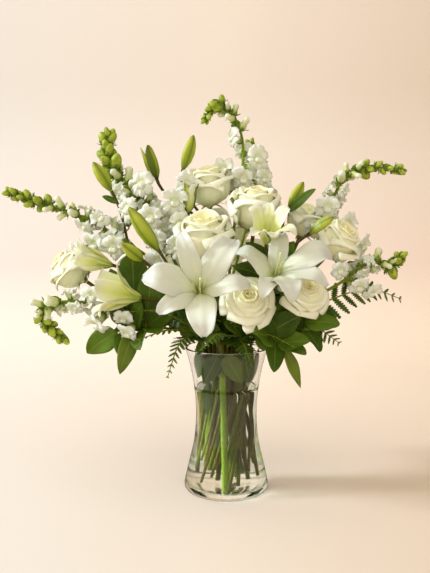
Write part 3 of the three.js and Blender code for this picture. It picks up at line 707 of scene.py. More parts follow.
def bud_material():
    """A lily bud: yellow-green, with painted shade in the grooves between its folded petals and a painted
    highlight along their ridges.
    """
    look = Look("lily_bud", Roughness=0.45)
    _, along, across, _ = look.marks()
    green = look.ramp(along, (0, (0.17, 0.21, 0.01)), (0.3, (0.33, 0.4, 0.018)), (0.8, (0.43, 0.47, 0.045)),
                      (1, (0.27, 0.27, 0.02)))
    # Painted shade darkens the grooves between the petals, and a painted highlight lightens the ridges.
    groove_shade_and_ridge_highlight = look.ramp(across, (0, (0.2, 0.3, 0.14)), (0.12, (0.75, 0.82, 0.6)), (0.9, (1.3, 1.25, 1.5)))
    patches = look.noise(70.0, 3.0)
    colour = look.mix(0.8, green, groove_shade_and_ridge_highlight, "MULTIPLY")
    colour = look.mix(patches * 0.35, colour, (0.75, 0.78, 0.5), "MULTIPLY")
    look.soften(0.08, BUD_SCATTER)
    return look.finish(colour, patches, 0.2)


def grain_material(name, dark, light, scale, roughness, bump):
    look = Look(name, Roughness=roughness)
    grain = look.noise(scale, 3.0)
    return look.finish(look.ramp(grain, (0.3, dark), (0.7, light)), grain, bump)


def clear_material(name, colour, ior, shadow):
    """Clear glass or water. Light reaches what stands behind it, because its shadow is let through."""
    look = Look(name, Base_Color=colour, Roughness=0.0, IOR=ior, Transmission_Weight=1.0)
    in_shadow = node(look.tree, "ShaderNodeLightPath", "Is Shadow Ray")
    through = node(look.tree, "ShaderNodeBsdfTransparent", 0, {"Color": shadow})
    clear = Value(look.shader.outputs[0])
    surface = node(look.tree, "ShaderNodeMixShader", 0, {0: in_shadow, 1: clear, 2: through})
    plug(look.tree.nodes["Material Output"].inputs["Surface"], surface)
    return look.material


def make_materials():
    def stops(places, *colours):
        return list(zip(places, colours))

    lily = stops((0, 0.16, 0.36, 1),
                 (0.36, 0.46, 0.05), (0.56, 0.64, 0.2), (0.69, 0.71, 0.55), (0.71, 0.72, 0.66))
    young = stops((0, 0.3, 0.65, 1),
                  (0.4, 0.5, 0.03), (0.6, 0.66, 0.14), (0.76, 0.78, 0.38), (0.83, 0.83, 0.64))
    snap = stops((0, 0.28, 0.55, 1),
                 (0.5, 0.6, 0.15), (0.72, 0.77, 0.42), (0.79, 0.81, 0.63), (0.81, 0.825, 0.72))
    pale = stops((0, 0.35, 0.7, 1),
                 (0.3, 0.4, 0.06), (0.55, 0.62, 0.22), (0.76, 0.78, 0.48), (0.82, 0.83, 0.68))
    lily_stem = stops(STEM_STOPS,
                      (0.055, 0.032, 0.008), (0.1, 0.09, 0.007), (0.19, 0.25, 0.01), (0.3, 0.46, 0.018))
    stem = stops(STEM_STOPS,
                 (0.1, 0.068, 0.005), (0.16, 0.135, 0.006), (0.18, 0.215, 0.007), (0.24, 0.34, 0.016))
    made = {
        "rose": rose_material(),
        "lily_bud": bud_material(),
        "lily_stem": stem_material("lily_stem", lily_stem),
        "stem": stem_material("stem", stem),
        "glass": clear_material("glass", (0.99, 0.998, 0.993), 1.5, (0.93, 0.95, 0.93)),
        "water": clear_material("water", (0.985, 0.985, 0.93), 1.33, (0.96, 0.97, 0.95)),
    }
    for finish, *look in (
        ("lily", "lily_petal", lily, 0.0, 0.16, 0.42, 0.3),
        ("young_lily", "young_lily_petal", young, 0.3, 0.16, 0.42, 0.25),
        ("snapdragon", "snapdragon_petal", snap, 0.1, 0.12, 0.55, 0.3),
        ("pale_bud", "snapdragon_pale_bud", pale, 0.0, 0.12, 0.5, 0.2),
    ):
        made[finish] = petal_material(*look)
    for finish, *look in (
        ("salal", "lemon_leaf", (0.035, 0.07, 0.003), (0.13, 0.225, 0.012), (0.28, 0.36, 0.06), 0.3, 0.3),
        ("olive_leaf", "olive_leaf", (0.09, 0.14, 0.01), (0.24, 0.31, 0.03), (0.34, 0.4, 0.1), 0.34, 0.25),
        ("fern", "fern_leaf", (0.025, 0.055, 0.003), (0.12, 0.21, 0.012), (0.16, 0.26, 0.03), 0.45, 0.25),
        ("lily_leaf", "lily_leaf", (0.06, 0.12, 0.006), (0.17, 0.27, 0.02), (0.3, 0.38, 0.08), 0.38, 0.2),
    ):
        made[finish] = leaf_material(*look)
    for finish, *look in (
        ("green_bud", "snapdragon_bud", (0.25, 0.33, 0.012), (0.48, 0.56, 0.05), 160.0, 0.5, 0.2),
        ("calyx", "calyx", (0.1, 0.17, 0.008), (0.24, 0.33, 0.03), 200.0, 0.5, 0.25),
        ("filament", "filament", (0.6, 0.64, 0.26), (0.78, 0.8, 0.46), 200.0, 0.45, 0.1),
    ):
        made[finish] = grain_material(*look)
    return made


# ---------------------------------------------------------------- stems

def rim_place(slot):
    ring, degrees = slot
    return (*BUNDLE_CENTRE, RIM_HEIGHT) + RING[ring] * direction(math.radians(degrees))


def foot_place(slot):
    """Where a stem's line meets the vase's floor."""
    off_centre = (rim_place(slot) - (*BUNDLE_CENTRE, 0)) * (1, 1, 0)
    return spin(TWIST) @ off_centre + (*BUNDLE_CENTRE, VASE_FLOOR + GAP)


def stem_path(slot, end, way, bends=22):
    """A stem's middle line: from its cut above the floor, past the rim, to its end."""
    if slot is None:
        inside = spline(FRONT_STEM, 16)
    else:
        cut = LONGEST_CUT * (slot[1] * SCATTER_STEP % 1) ** 1.5
        inside = lerp(foot_place(slot), rim_place(slot), np.linspace(cut, 1, 14)[:, None])
    outside = bend(inside[-1], inside[-1] - inside[-2], end, way, bends)
    return np.vstack([inside, outside[1:]])


def add_stem(shape, path, radius, end_radius, finish, tint, sides, joints, rng):
    """A stem that thins towards its end, with swellings at its leaf joints."""
    share = np.linspace(0, 1, len(path))
    radii = lerp(radius, end_radius, smoothstep((share - 0.35) / 0.65))
    for _ in range(joints):
        place = rng.uniform(0.05, 0.9)
        radii = radii * (1 + 0.16 * np.exp(-(((share - place) / 0.012) ** 2)))
    shape.tube(path, radii, sides, finish, tint, level_start=True)


def stem_and_line(slot, line, ways, radius, end_radius, bends=22):
    """A stem and the line that goes on from it: both in one path, and the radii along it."""
    stem = stem_path(slot, line[0], ways[0], bends)
    radii = np.concatenate([np.full(len(stem), radius), np.linspace(radius, end_radius, len(line) - 1)])
    return np.vstack([stem, line[1:]]), radii


# ---------------------------------------------------------------- leaves

def leaf_outline(u):
    return 0.05 + 0.95 * np.maximum(0, np.sin(math.pi * u**0.8)) ** 0.72


def rippled_outline(u):
    return leaf_outline(u) * (0.92 + 0.08 * np.cos(50 * u))


def toothed_outline(u):
    blade = 0.25 + 0.75 * np.sin(math.pi * (0.16 + 0.84 * u)) ** 0.7
    return blade * (0.42 + 0.58 * abs(np.sin(8 * math.pi * u)))


def leaf_grid(root, tip, width, rise=0.1, fold=0.18, waves=0.05, rows=13, columns=9, seed=0,
              outline=leaf_outline, across=None):
    """A leaf from its root to its tip: a curved middle line, a pointed outline, a folded midrib. It
    spreads level, or along across."""
    phase = random.Random(seed).uniform(0, ANY_PHASE)
    root, tip = np.asarray(root, float), np.asarray(tip, float)
    middle = (root + tip) / 2 + (0, 0, rise * np.linalg.norm(tip - root))
    u = np.linspace(0, 1, rows)[:, None]
    path = (1 - u) ** 2 * root + 2 * u * (1 - u) * middle + u**2 * tip
    ways = tangents(path)
    level = np.cross(ways, (0, 0, 1.0)) if across is None else across - ways * (ways @ across)[:, None]
    level /= np.linalg.norm(level, axis=1)[:, None]
    v = np.linspace(-1, 1, columns)
    half = width / 2 * outline(u)
    wave = waves * width * np.sin(9 * u + phase + 1.4 * v) * v**2
    return sheet(path, level, np.cross(level, ways), v * half, fold * half * np.abs(v) ** 1.3 + wave)


def add_twig_leaf(shape, root, tip, width, seed, finish="salal", rise=0.1, across=None):
    """A lemon leaf on its short stalk."""
    rng = random.Random(seed)
    root, tip = np.asarray(root, float), np.asarray(tip, float)
    start, inside = lerp(root, tip, 0.07), lerp(root, tip, 0.14)
    shape.tube([root, start, inside], [1.2, 1.0, 0.8], 6, "stem", 0.7)
    grid = leaf_grid(start, tip, width, rise=rise, fold=rng.uniform(0.1, 0.26), seed=seed, across=across)
    shape.skin(grid, 0.7, finish, tint=rng.uniform(0, 0.8))


def add_crowd(shape, path, azimuth, count, seed):
    """More leaves along the outside part of a stem. Their faces look outwards, round an azimuth."""
    rng = random.Random(seed)
    for k in range(count):
        root = path[int(lerp(0.06, 0.97, (k + 0.5) / count) * (len(path) - 1))]
        heading = math.radians(azimuth + rng.uniform(-38, 38))
        face = unit(direction(heading, rng.uniform(0.1, 0.9)))
        level = np.array([-math.sin(heading), math.cos(heading), 0])
        angle = rng.uniform(-0.35, 1.0) * math.pi
        flat_way = level * math.cos(angle) + np.cross(face, level) * math.sin(angle)
        way = unit(flat_way + face * rng.uniform(0.2, 0.6))
        length = rng.uniform(36, 54)
        tip = root + way * length
        if tip[2] < RIM_HEIGHT + 4 and math.hypot(*tip[:2]) < CLEAR_OF_VASE:
            way[2] = abs(way[2])
            tip = root + way * length
        finish = "olive_leaf" if rng.random() < 0.2 else "salal"
        add_twig_leaf(shape, root, tip, length * rng.uniform(0.6, 0.72), seed * 31 + k, finish, rise=0.04,
                      across=np.cross(way, face))


def add_rose_leaves(shape, path, rng):
    """Leaves of three toothed leaflets on a rose stem, between the vase's rim and the head."""
    outside = [k for k in range(len(path) - 4) if path[k][2] > RIM_HEIGHT + 20]
    outward = path[-1] - path[outside[0]]
    azimuth = math.atan2(outward[1], outward[0])
    for number, k in enumerate(outside[::3]):
        heading = azimuth + (1 if number % 2 else -1) * rng.uniform(0.5, 1.4)
        way = unit(direction(heading, rng.uniform(0, 0.6)))
        side = unit(np.cross(way, (0, 0, 1)))
        end = path[k] + way * rng.uniform(16, 22)
        shape.tube(np.linspace(path[k], end, 4), 0.9, 6, "stem", tint=0.8)
        for hand, length, width, back in ((0, 30, 22, 0), (1.6, 24, 17, 6), (-1.6, 24, 17, 6)):
            root = end - way * back
            tip = root + unit(way + side * hand) * length
            grid = leaf_grid(root, tip, width, rise=0.06, rows=19, columns=7, seed=rng.randrange(1000),
                             outline=rippled_outline)
            shape.skin(grid, 0.5, "salal", tint=rng.uniform(0, 0.6))


# ---------------------------------------------------------------- flowers

def add_sepals(shape, r, z, side, start=0.0):
    """A ring of sepals under a flower: how far out and how high each runs, and how far to its sides."""
    for k in range(SEPALS):
        turn = k * 2 * math.pi / SEPALS + start
        grid = np.stack([r * math.cos(turn) - side * math.sin(turn),
                         r * math.sin(turn) + side * math.cos(turn), z + 0 * side], axis=2)
        shape.skin(grid, 0.7, "calyx")


def rose_shape(radius, height, blown, seed):
    """A garden rose, facing +Z: petals in a golden-angle spiral, rolled at the heart, cupped further
    out. Their rims stand highest in the middle and turn outwards, most on the outermost ones. A blown
    rose has opened from a goblet to a dome."""
    rng = random.Random(seed)
    rims, tops, flares = lerp(np.array(ROSE_GOBLET), np.array(ROSE_DOME), blown)
    shape = Shape()
    t = np.linspace(0, 1, 16)
    v = np.linspace(-1, 1, 17)[None, :]
    lip = np.clip((t - 0.45) / 0.55, 0, 1)[:, None] ** 1.4
    narrow = np.interp(t, [0, 0.3, 0.65, 0.9, 1], [0.35, 0.85, 1, 0.94, 0.78])[:, None]
    for i in range(ROSE_PETALS):
        s = i / (ROSE_PETALS - 1)
        turn = i * GOLDEN_ANGLE + rng.uniform(-0.25, 0.25)
        rim = radius * np.interp(s, ROSE_STAGES, rims) * rng.uniform(0.94, 1.06)
        top = height * np.interp(s, ROSE_STAGES, tops) * rng.uniform(0.96, 1.03)
        foot = height * lerp(0.5, 0.03, s**0.7)
        rise = top - foot
        flare = radius * np.interp(s, ROSE_STAGES, flares) * rng.uniform(0.6, 1.25)
        curl = radius * np.interp(s, [0, 0.5, 0.75, 1], [0, 0.01, 0.05, 0.15]) * rng.uniform(0.3, 1.4)
        line = spline([
            (0.2 * rim + 0.6, foot), (0.76 * rim, foot + 0.24 * rise), (0.93 * rim, foot + 0.52 * rise),
            (0.96 * rim, foot + 0.8 * rise), (rim + 0.35 * flare, top), (rim + flare, top - curl)], len(t))
        half = np.interp(s, [0, 0.3, 0.7, 1], [1.9, 1.4, 1.12, 1.0]) * rng.uniform(0.92, 1.1)
        angle = turn + v * half * narrow
        phase = rng.uniform(0, ANY_PHASE)
        ruffle = 0.024 * radius * (0.25 + s) * np.sin(3.0 * v + phase) * lip
        rounding = rise * lerp(0.1, 0.32, min(1, 1.6 * s)) * np.abs(v) ** 2.1 * lip
        point = 0.05 * radius * s * (1 - np.abs(v)) ** 3 * lip
        overlap = 1 + 0.09 * v * (1.15 - s)
        r = line[:, :1] * overlap + ruffle + 0.03 * radius * s * np.abs(v) ** 3 * lip + point
        z = line[:, 1:] - rounding + ruffle - point * 0.4
        shape.skin(polar(r, angle, z), lerp(0.5, 0.8, s), "rose", tint=s)
    # The solid heart that the petals stand on, so that no hollow shows between them.
    core = [(r * radius, z * height) for r, z in ROSE_CORE]
    shape.turn_profile(core, 24, "rose", along=(0.5, 1), tint=0.45)
    # The hip under the head and its sepals.
    shape.turn_profile([(0, 0), (3.2, 0.2), (4.6, 2.5), (5.6, 6), (4, 9), (0, 10)], 12, "calyx")
    length = 0.62 * radius
    u = np.linspace(0, 1, 7)[:, None]
    w = np.linspace(-1, 1, 5)[None, :]
    add_sepals(shape, 4.4 + length * (0.5 * u + 0.45 * u**2), 4 + length * (0.42 * u - 0.5 * u**2),
               w * (3.6 * (1 - u) ** 0.7 + 0.4), start=0.3)
    return shape


def lily_petal(open_share, length, width, seed, bend_back):
    """One lily petal in the bloom's frame, growing out along +X: ribbed, waved and curled back."""
    rng = random.Random(seed)
    out, up = lerp(np.array(LILY_SHUT), np.array(LILY_FLAT), open_share).T
    up[3:] += np.array([0.3, -1]) * bend_back
    knots = np.stack([out * length / LILY_LENGTH, 0 * out, up * length], axis=1)
    path = spline(knots, 22)
    ways = tangents(path)
    across = np.array([0, 1.0, 0])
    inner = np.cross(across, ways)  # towards the bloom's axis and mouth
    inner /= np.linalg.norm(inner, axis=1)[:, None]
    u = np.linspace(0, 1, len(path))[:, None]
    v = np.linspace(-1, 1, 13)
    phase, phase2 = rng.uniform(0, ANY_PHASE), rng.uniform(0, ANY_PHASE)
    twist = rng.uniform(-0.25, 0.25) * u
    share = 0.17 + 0.83 * np.maximum(0, np.sin(math.pi * 0.985 * u**1.05 + 0.01)) ** 0.8
    share *= lerp(1, 0.75, np.clip((u - 0.9) / 0.1, 0, 1))
    half = width / 2 * share
    # A gutter along the middle with a raised rib in it, and margins that roll back.
    rolled = smoothstep((u - 0.35) / 0.5)
    bowl = 0.26 * half * v**2 * (1 - rolled)
    back = -0.34 * half * np.abs(v) ** 2.4 * rolled
    gutter = -0.05 * width * np.exp(-((v / 0.2) ** 2)) * (1 - 0.5 * u)
    wave = 0.05 * width * np.sin(11 * u + phase + 0.8 * v) * np.abs(v) ** 3
    wave2 = 0.025 * width * np.sin(19 * u + phase2) * v**3
    side = across * np.cos(twist) + inner * np.sin(twist)
    return sheet(path, side, inner, v * half, bowl + back + gutter + wave + wave2)


def bloom_shape(petals, length, seed, finish, with_heart):
    """A lily, facing +Z: three broad petals and three narrow ones in turn, a pistil, and six
    filaments whose anthers have been taken off."""
    rng = random.Random(seed)
    shape = Shape()
    for i, (azimuth, opening, share) in enumerate(petals):
        narrow = i % 2
        width = (0.32 if narrow else 0.43) * length * rng.uniform(0.94, 1.06)
        grid = lily_petal(opening, length * share, width, seed * 10 + i, rng.uniform(0.0, 0.1) * opening)
        grid = grid - (0, 0, 1.2 * narrow)
        shape.skin(grid @ spin(math.radians(azimuth)).T, 0.9, finish)
    reach = length / LILY_LENGTH
    cup = [(0, 0), (2.4, 0.1), (3.4, 2), (4.6, 6), (5.2, 10), (3, 12), (0, 12.4)]
    shape.turn_profile([(r * reach, z * reach) for r, z in cup], 12, finish)
    if not with_heart:
        return shape
    for azimuth, opening, _ in petals:
        angle = math.radians(azimuth + 8) + rng.uniform(-0.1, 0.1)
        spread = rng.uniform(6, 12) * opening
        end = (spread, 0, 45 + rng.uniform(-4, 4))
        line = spline([(2.5, 0, 8), (5, 0, 22), (spread * 0.8, 0, 36), end], 9) * reach
        radii = np.linspace(0.9, 0.5, 9) * reach
        shape.tube(line @ spin(angle).T, radii, 6, "filament", hint=(0, 0, 1))
    pistil = spline([(0, 0, 6), (0.6, 0.3, 26), (1.6, 1.4, 44), (2.6, 3, 56)], 12) * reach
    thickness = np.concatenate([np.linspace(1.9, 1.0, 6), np.full(4, 1.0), [1.5, 2.0]]) * reach
    shape.tube(pistil, thickness, 9, "filament",
               lobes=lambda a, u: 1 + 0.16 * np.cos(3 * a) * smoothstep((u - 0.8) / 0.2))
    return shape


def bud_shape(length, radius, split):
    """A lily bud, growing along +Z: three folded lobes with grooves between them. When its tip has
    split, three petals stand round it, and an opening one is six petals round a cup."""
    shape = Shape()
    u = np.linspace(0, 1, 20)
    path = np.stack([0 * u, 0 * u, u * length], axis=1)
    along = [0, 0.08, 0.25, 0.5, 0.75, 0.93, 1]
    swell = radius * np.interp(u, along, [0.26, 0.5, 0.84, 1, 0.82, 0.44, 0.14])
    body = dict(sides=24, finish="lily_bud", lobes=three_lobes)
    if split == 0:
        shape.tube(path, swell, **body)
        return shape
    if split < 1:
        closed = u <= 0.62
        shape.tube(path[closed], swell[closed] * 0.9, **body)
        count, width = 3, radius * 2.3
    else:
        shape.turn_profile([(0, 0), (2, 0.1), (radius * 0.5, 5), (radius * 0.5, 9), (0, 12)], 12, "lily_bud")
        count, width = 6, radius * 1.7
    u = np.linspace(0, 1, 14)[:, None]
    v = np.linspace(-1, 1, 9)
    out = np.interp(u, [0, 0.2, 0.5, 0.75, 1], [0.28, 0.82, 0.98, 0.9, 0.5 + 0.7 * split]) * radius
    half = width / 2 * np.sin(math.pi * (0.12 + 0.86 * u)) ** 0.7
    wrap = np.clip(v * half / np.maximum(out, 1.0), -1.1, 1.1)
    for i in range(count):
        angle = i * 2 * math.pi / count + wrap
        odd = i % 2
        grid = polar(out, angle, u * length * (1 + 0.03 * odd) + 0 * v)
        shape.skin(grid, 1.1, "lily_bud" if split < 1 or odd else "young_lily")
    return shape


def three_lobes(angles, share):
    return 1 + 0.14 * np.cos(3 * angles) * np.sin(math.pi * np.minimum(1, share * 1.05)) ** 0.5


def lip_grid(start, end, lobes, reach, rise, fall, rng):
    """One lip of a snapdragon flower: a ruffled fan with rounded lobes, between two angles round the
    mouth. It leaves the mouth forwards, then turns out and back."""
    u = np.linspace(0, 1, 8)[:, None]
    w = np.linspace(0, 1, 12 * lobes + 1)[None, :]
    angle = np.radians(lerp(start, end, w))
    lobe = np.abs(np.sin(math.pi * lobes * w)) ** 0.4
    phase, phase2 = rng.uniform(0, ANY_PHASE), rng.uniform(0, ANY_PHASE)
    uneven = 1 + 0.14 * np.sin(4.3 * w + phase2)
    frill = 1 + (0.07 * np.sin(lobes * 9 * w + phase) + 0.06 * np.sin(lobes * 21 * w + phase2)) * u**2
    ruffle = (2.4 * np.sin(lobes * 3.4 * w + phase) + 1.5 * np.sin(lobes * 9.5 * w + phase2)
              + 0.6 * np.sin(lobes * 22 * w + phase)) * u**2
    out = 4.4 + reach * (0.7 + 0.3 * lobe) * u**1.4 * frill * uneven + 0.35 * ruffle
    return polar(out, angle, 13.5 + rise * u - fall * u**2.2 + 1.2 * (1 - lobe) * u**2 + ruffle)


def floret_shape(seed):
    """A snapdragon flower, its tube along +Z and its upper lip towards +Y: two broad ruffled lobes
    above, three below, and the swollen throat that closes its mouth."""
    rng = random.Random(seed)
    shape = Shape()
    tube = [(0, 0), (2.8, 0.6), (4.6, 3.5), (5.6, 8), (6, 12.5), (6.1, 15), (4.6, 16.5), (0, 16)]
    shape.turn_profile(tube, 14, "snapdragon", along=(0, 0.5))
    shape.skin(lip_grid(0, 180, 2, 11.5, 15, rng.uniform(8, 13), rng), 0.7, "snapdragon", base=0.4)
    shape.skin(lip_grid(180, 360, 3, 10.5, 9, rng.uniform(9, 14), rng), 0.7, "snapdragon", base=0.4)
    throat = np.linspace((-5.4, -3.2, 17), (5.4, -3.2, 17), 9)
    swell = [0.4, 2.6, 3.6, 3.6, 3.1, 3.6, 3.6, 2.6, 0.4]
    shape.tube(throat, swell, 10, "snapdragon", hint=(0, 0, 1), base=0.42)
    add_calyx(shape, 7.5, 4.6)
    return shape


def add_calyx(shape, length, radius):
    """The short green sepals round the foot of a snapdragon flower or bud."""
    u = np.linspace(0, 1, 5)[:, None]
    w = np.linspace(-1, 1, 5)[None, :]
    add_sepals(shape, 0.8 + radius * np.sin(math.pi / 2 * u**0.6) + 0.5, -1.5 + length * u,
               w * radius * 0.62 * (1 - u**2 * 0.8))


def snap_bud_shape(length, radius, green):
    """A closed snapdragon bud with its calyx, along +Z. A pale one is waisted below its folded lips."""
    shape = Shape()
    u = np.linspace(0, 1, 12)
    path = np.stack([0 * u, 0.16 * length * u**2, u * length], axis=1)
    if green:
        swell = np.interp(u, [0, 0.15, 0.4, 0.75, 0.92, 1], [0.5, 0.88, 1, 0.85, 0.5, 0.2])
    else:
        swell = np.interp(u, [0, 0.12, 0.3, 0.55, 0.8, 0.93, 1], [0.5, 0.9, 1, 0.74, 0.86, 0.66, 0.3])
    shape.tube(path, swell * radius, 12, "green_bud" if green else "pale_bud",
               lobes=lambda a, s: 1 + 0.14 * s * np.cos(4 * a))
    add_calyx(shape, length * (0.62 if green else 0.42), radius * 0.95)
    bract = leaf_grid((0, -1, -1), (0, -radius * 1.9, length * 0.5), radius * 1.3, rise=-0.15, rows=7,
                      columns=5, across=np.array([1.0, 0, 0]))
    shape.skin(bract, 0.5, "calyx")
    return shape


# ---------------------------------------------------------------- pieces

def glass_profile():
    """The vase's outside and inside, rounded at the foot and the rim: (radius, height) in five runs."""
    smooth = spline([(r, h) for h, r in VASE_OUTLINE], 90)
    heights = [6, *np.linspace(10, 201, 40)]
    outer = [(float(np.interp(h, smooth[:, 1], smooth[:, 0])), float(h)) for h in heights]
    foot = [(0, 1.2), (30, 1.0), (46, 0.6), (50.5, 0.1), (52.5, 0.0), (55, 0.7), (57.6, 2.2), (59.1, 4.2)]
    lip = VASE_WALL / 2
    arc = [math.radians(a) for a in range(0, 181, 15)]
    rim = [(outer[-1][0] - lip + lip * math.cos(a), VASE_RIM + lip * math.sin(a)) for a in arc]
    inner = [(r - VASE_WALL, h) for r, h in reversed(outer) if h > VASE_FLOOR + 7]
    low_r = inner[-1][0]
    floor = [(low_r - 0.5, VASE_FLOOR + 4.5), (low_r - 2, VASE_FLOOR + 2), (low_r - 5, VASE_FLOOR + 0.4),
             (low_r - 8, VASE_FLOOR), (20, VASE_FLOOR), (0, VASE_FLOOR)]
    return foot, outer, rim, inner, floor


def vase_shape():
    shape = Shape()
    shape.turn_profile(sum(glass_profile(), []), ROUND_GLASS, "glass")
    return shape


def water_shape():
    """The water reaches a little into the glass, so that no air shows between them."""
    bite = 0.12
    *_, inner, floor = glass_profile()
    inner.reverse()
    bottom = [(0, VASE_FLOOR - bite), (20, VASE_FLOOR - bite)]
    corner = [(r + bite, z - bite * 0.5) for r, z in reversed(floor[:-2])]
    wall = [(r + bite, z) for r, z in inner if z < WATER_LEVEL - 1]
    edge = float(np.interp(WATER_LEVEL, [z for _, z in inner], [r for r, _ in inner]))
    top = [(edge + bite, WATER_LEVEL + 0.6), (edge - 0.5, WATER_LEVEL + 0.25), (edge - 1.6, WATER_LEVEL),
           (edge - 4, WATER_LEVEL), (0, WATER_LEVEL)]
    shape = Shape()
    shape.turn_profile(bottom + corner + wall + top, ROUND_GLASS, "water")
    return shape


def grow_rose(shape, index, name, base, facing, radius, height, slot):
    """The head as a piece of its own, and its stem with its leaves in shape."""
    head = Shape()
    blown = 1 - smoothstep((facing[2] - 0.6) / 0.3)
    rose = rose_shape(radius, height, blown, SEEDS["rose"] + index)
    head.merge(rose, facing_along(facing, base, turn=index * 1.3))
    add_piece(name + "_bloom", head, "rose_petal", name)
    path = stem_path(slot, base - unit(facing) * GAP, facing)
    rng = random.Random(index)
    thick = STEM_RADIUS["rose"]
    tint = 0.1 + 0.8 * (index * SCATTER_STEP % 1)
    add_stem(shape, path, thick, thick * 0.9, "stem", tint, sides=12, joints=4, rng=rng)
    add_rose_leaves(shape, path, rng)


def grow_bloom(shape, index, _name, base, facing, young, length, petals, _stem):
    finish = "young_lily" if young else "lily"
    flower = bloom_shape(petals, length, SEEDS["bloom"] + index, finish, with_heart=not young)
    shape.merge(flower, facing_along(facing, base))


def grow_bud(shape, index, _name, base, tip, radius, split, _stem):
    way = np.subtract(tip, base)
    shape.merge(bud_shape(np.linalg.norm(way), radius, split), facing_along(way, base, turn=index))


def grow_lily_stem(shape, index, name, top, lean, slot, leaves):
    """A trunk, a short stalk to each bloom and bud that it carries, and its leaves."""
    rng = random.Random(SEEDS["lily_stem"] + index)
    radius = STEM_RADIUS["lily"]
    bright = 1.0 if slot is None else 0.45 + 0.12 * index
    path = stem_path(slot, top, lean)
    tints = np.where(path[:, 2] < WATER_LEVEL + 20, bright, min(bright, 0.4))
    add_stem(shape, path, radius, radius * 0.7, "lily_stem", tints, sides=14, joints=5, rng=rng)
    carried = [(base, facing) for base, facing, *_, stem in BLOOMS.values() if stem == name]
    carried += [(base, np.subtract(tip, base)) for base, tip, *_, stem in BUDS.values() if stem == name]
    radii = np.full(16, STEM_RADIUS["pedicel"])
    radii[-3:] *= (1.05, 1.15, 1.3)
    for base, facing in carried:
        line = bend(top - unit(lean) * radius, lean, base - unit(facing) * GAP, facing, len(radii))
        shape.tube(line, radii, 10, "lily_stem", tint=0.12 + 0.2 * rng.random())
    for root, tip, width in leaves:
        across = unit(np.cross(np.subtract(tip, root), (0, -1, 0.4)))
        grid = leaf_grid(root, tip, width, seed=index, across=across)
        shape.skin(grid, 0.6, "salal" if width > 20 else "lily_leaf")
    outside = path[-20:]
    for k in range(5):
        root = outside[2 + 4 * k - k % 2]
        reach = direction(2.4 * k + index, rng.uniform(0.2, 0.9)) * rng.uniform(34, 46)
        grid = leaf_grid(root, root + reach, 12, rise=0.14, seed=SEEDS["lily_leaf"] + index * 7 + k)
        shape.skin(grid, 0.6, "lily_leaf", tint=rng.uniform(0, 0.5))


def grow_snapdragon(shape, index, _name, spike, radius, slot, looseness, bud_scale, beside):
    """A spike on its stem, and single flowers on stalks beside it."""
    rng = random.Random(SEEDS["snapdragon"] + index)
    line = spline(spike, 90)
    ways = tangents(line)
    whole, radii = stem_and_line(slot, line, ways, STEM_RADIUS["snapdragon"], 1.3)
    tints = np.where(whole[:, 2] > RIM_HEIGHT, 0.92, 0.45)
    shape.tube(whole, radii, 10, "stem", tint=tints, level_start=True)
    florets = [floret_shape(SEEDS["floret"] + index * 10 + k) for k in range(FLORETS)]
    add_spike(shape, line, ways, radius, looseness, bud_scale, florets, rng)
    for number, (spot, facing, size) in enumerate(beside):
        below = whole[whole[:, 2] < spot[2] + 6]
        near = below[np.argmin(np.linalg.norm(below - spot, axis=1))]
        stalk = bend(near + (0, 0, 0.01), unit(spot - near) + (0, 0, 0.6), spot, facing, 10)
        shape.tube(stalk, 1.1, 7, "stem", tint=0.95)
        shape.merge(florets[number % FLORETS], facing_upright(facing, (0.1, 0, 1), spot, size * 1.2))


def add_spike(shape, line, ways, radius, looseness, bud_scale, florets, rng):
    """Open flowers, pale buds and green buds in a spiral up a snapdragon's stem."""
    length = np.linalg.norm(np.diff(line, axis=0), axis=1).sum()
    place, turn, count = 0.0, rng.uniform(0, 6), 0
    while place < length:
        t = place / length
        k = int(t * (len(line) - 1))
        spot, way = line[k], ways[k]
        side = unit(np.cross(way, (0.13, 0.2, 1.0)))
        out = side * math.cos(turn) + np.cross(way, side) * math.sin(turn)
        turn += GOLDEN_ANGLE
        count += 1
        if t < OPEN_UNTIL:
            size = radius / FLORET_RADIUS * lerp(1.08, 0.84, t / OPEN_UNTIL) * rng.uniform(0.9, 1.1)
            placing = facing_upright(out + way * 0.4, way, spot + out * 1.5, size)
            shape.merge(florets[count % FLORETS], placing)
            place += 9.4 * size * looseness
            continue
        green = t > PALE_UNTIL
        if green:
            share = (t - PALE_UNTIL) / (1 - PALE_UNTIL)
            size, fat, lean, step = lerp(17, 9, share), 0.36, lerp(0.35, 1.3, share), lerp(5.6, 3.1, share)
        else:
            share = (t - OPEN_UNTIL) / (PALE_UNTIL - OPEN_UNTIL)
            size, fat, lean, step = lerp(22, 15, share), 0.27, lerp(0.3, 0.5, share), lerp(8, 5.2, share)
        size *= rng.uniform(0.8, 1.18) * bud_scale
        bud = snap_bud_shape(size, size * fat, green)
        shape.merge(bud, facing_upright(out + way * lean, way, spot + out * 1.2))
        place += step


def grow_fern(shape, index, _name, rib, leaflet, slot, facing, branches):
    rng = random.Random(SEEDS["fern"] + index)
    stem = stem_path(slot, rib[0], np.subtract(rib[1], rib[0]), bends=14)
    shape.tube(stem, STEM_RADIUS["fern"], 8, "stem", tint=0.75, level_start=True)
    add_frond(shape, rib, leaflet, facing, rng)
    for points in branches:
        add_frond(shape, rib[:1] + points, leaflet * 0.9, facing, rng)


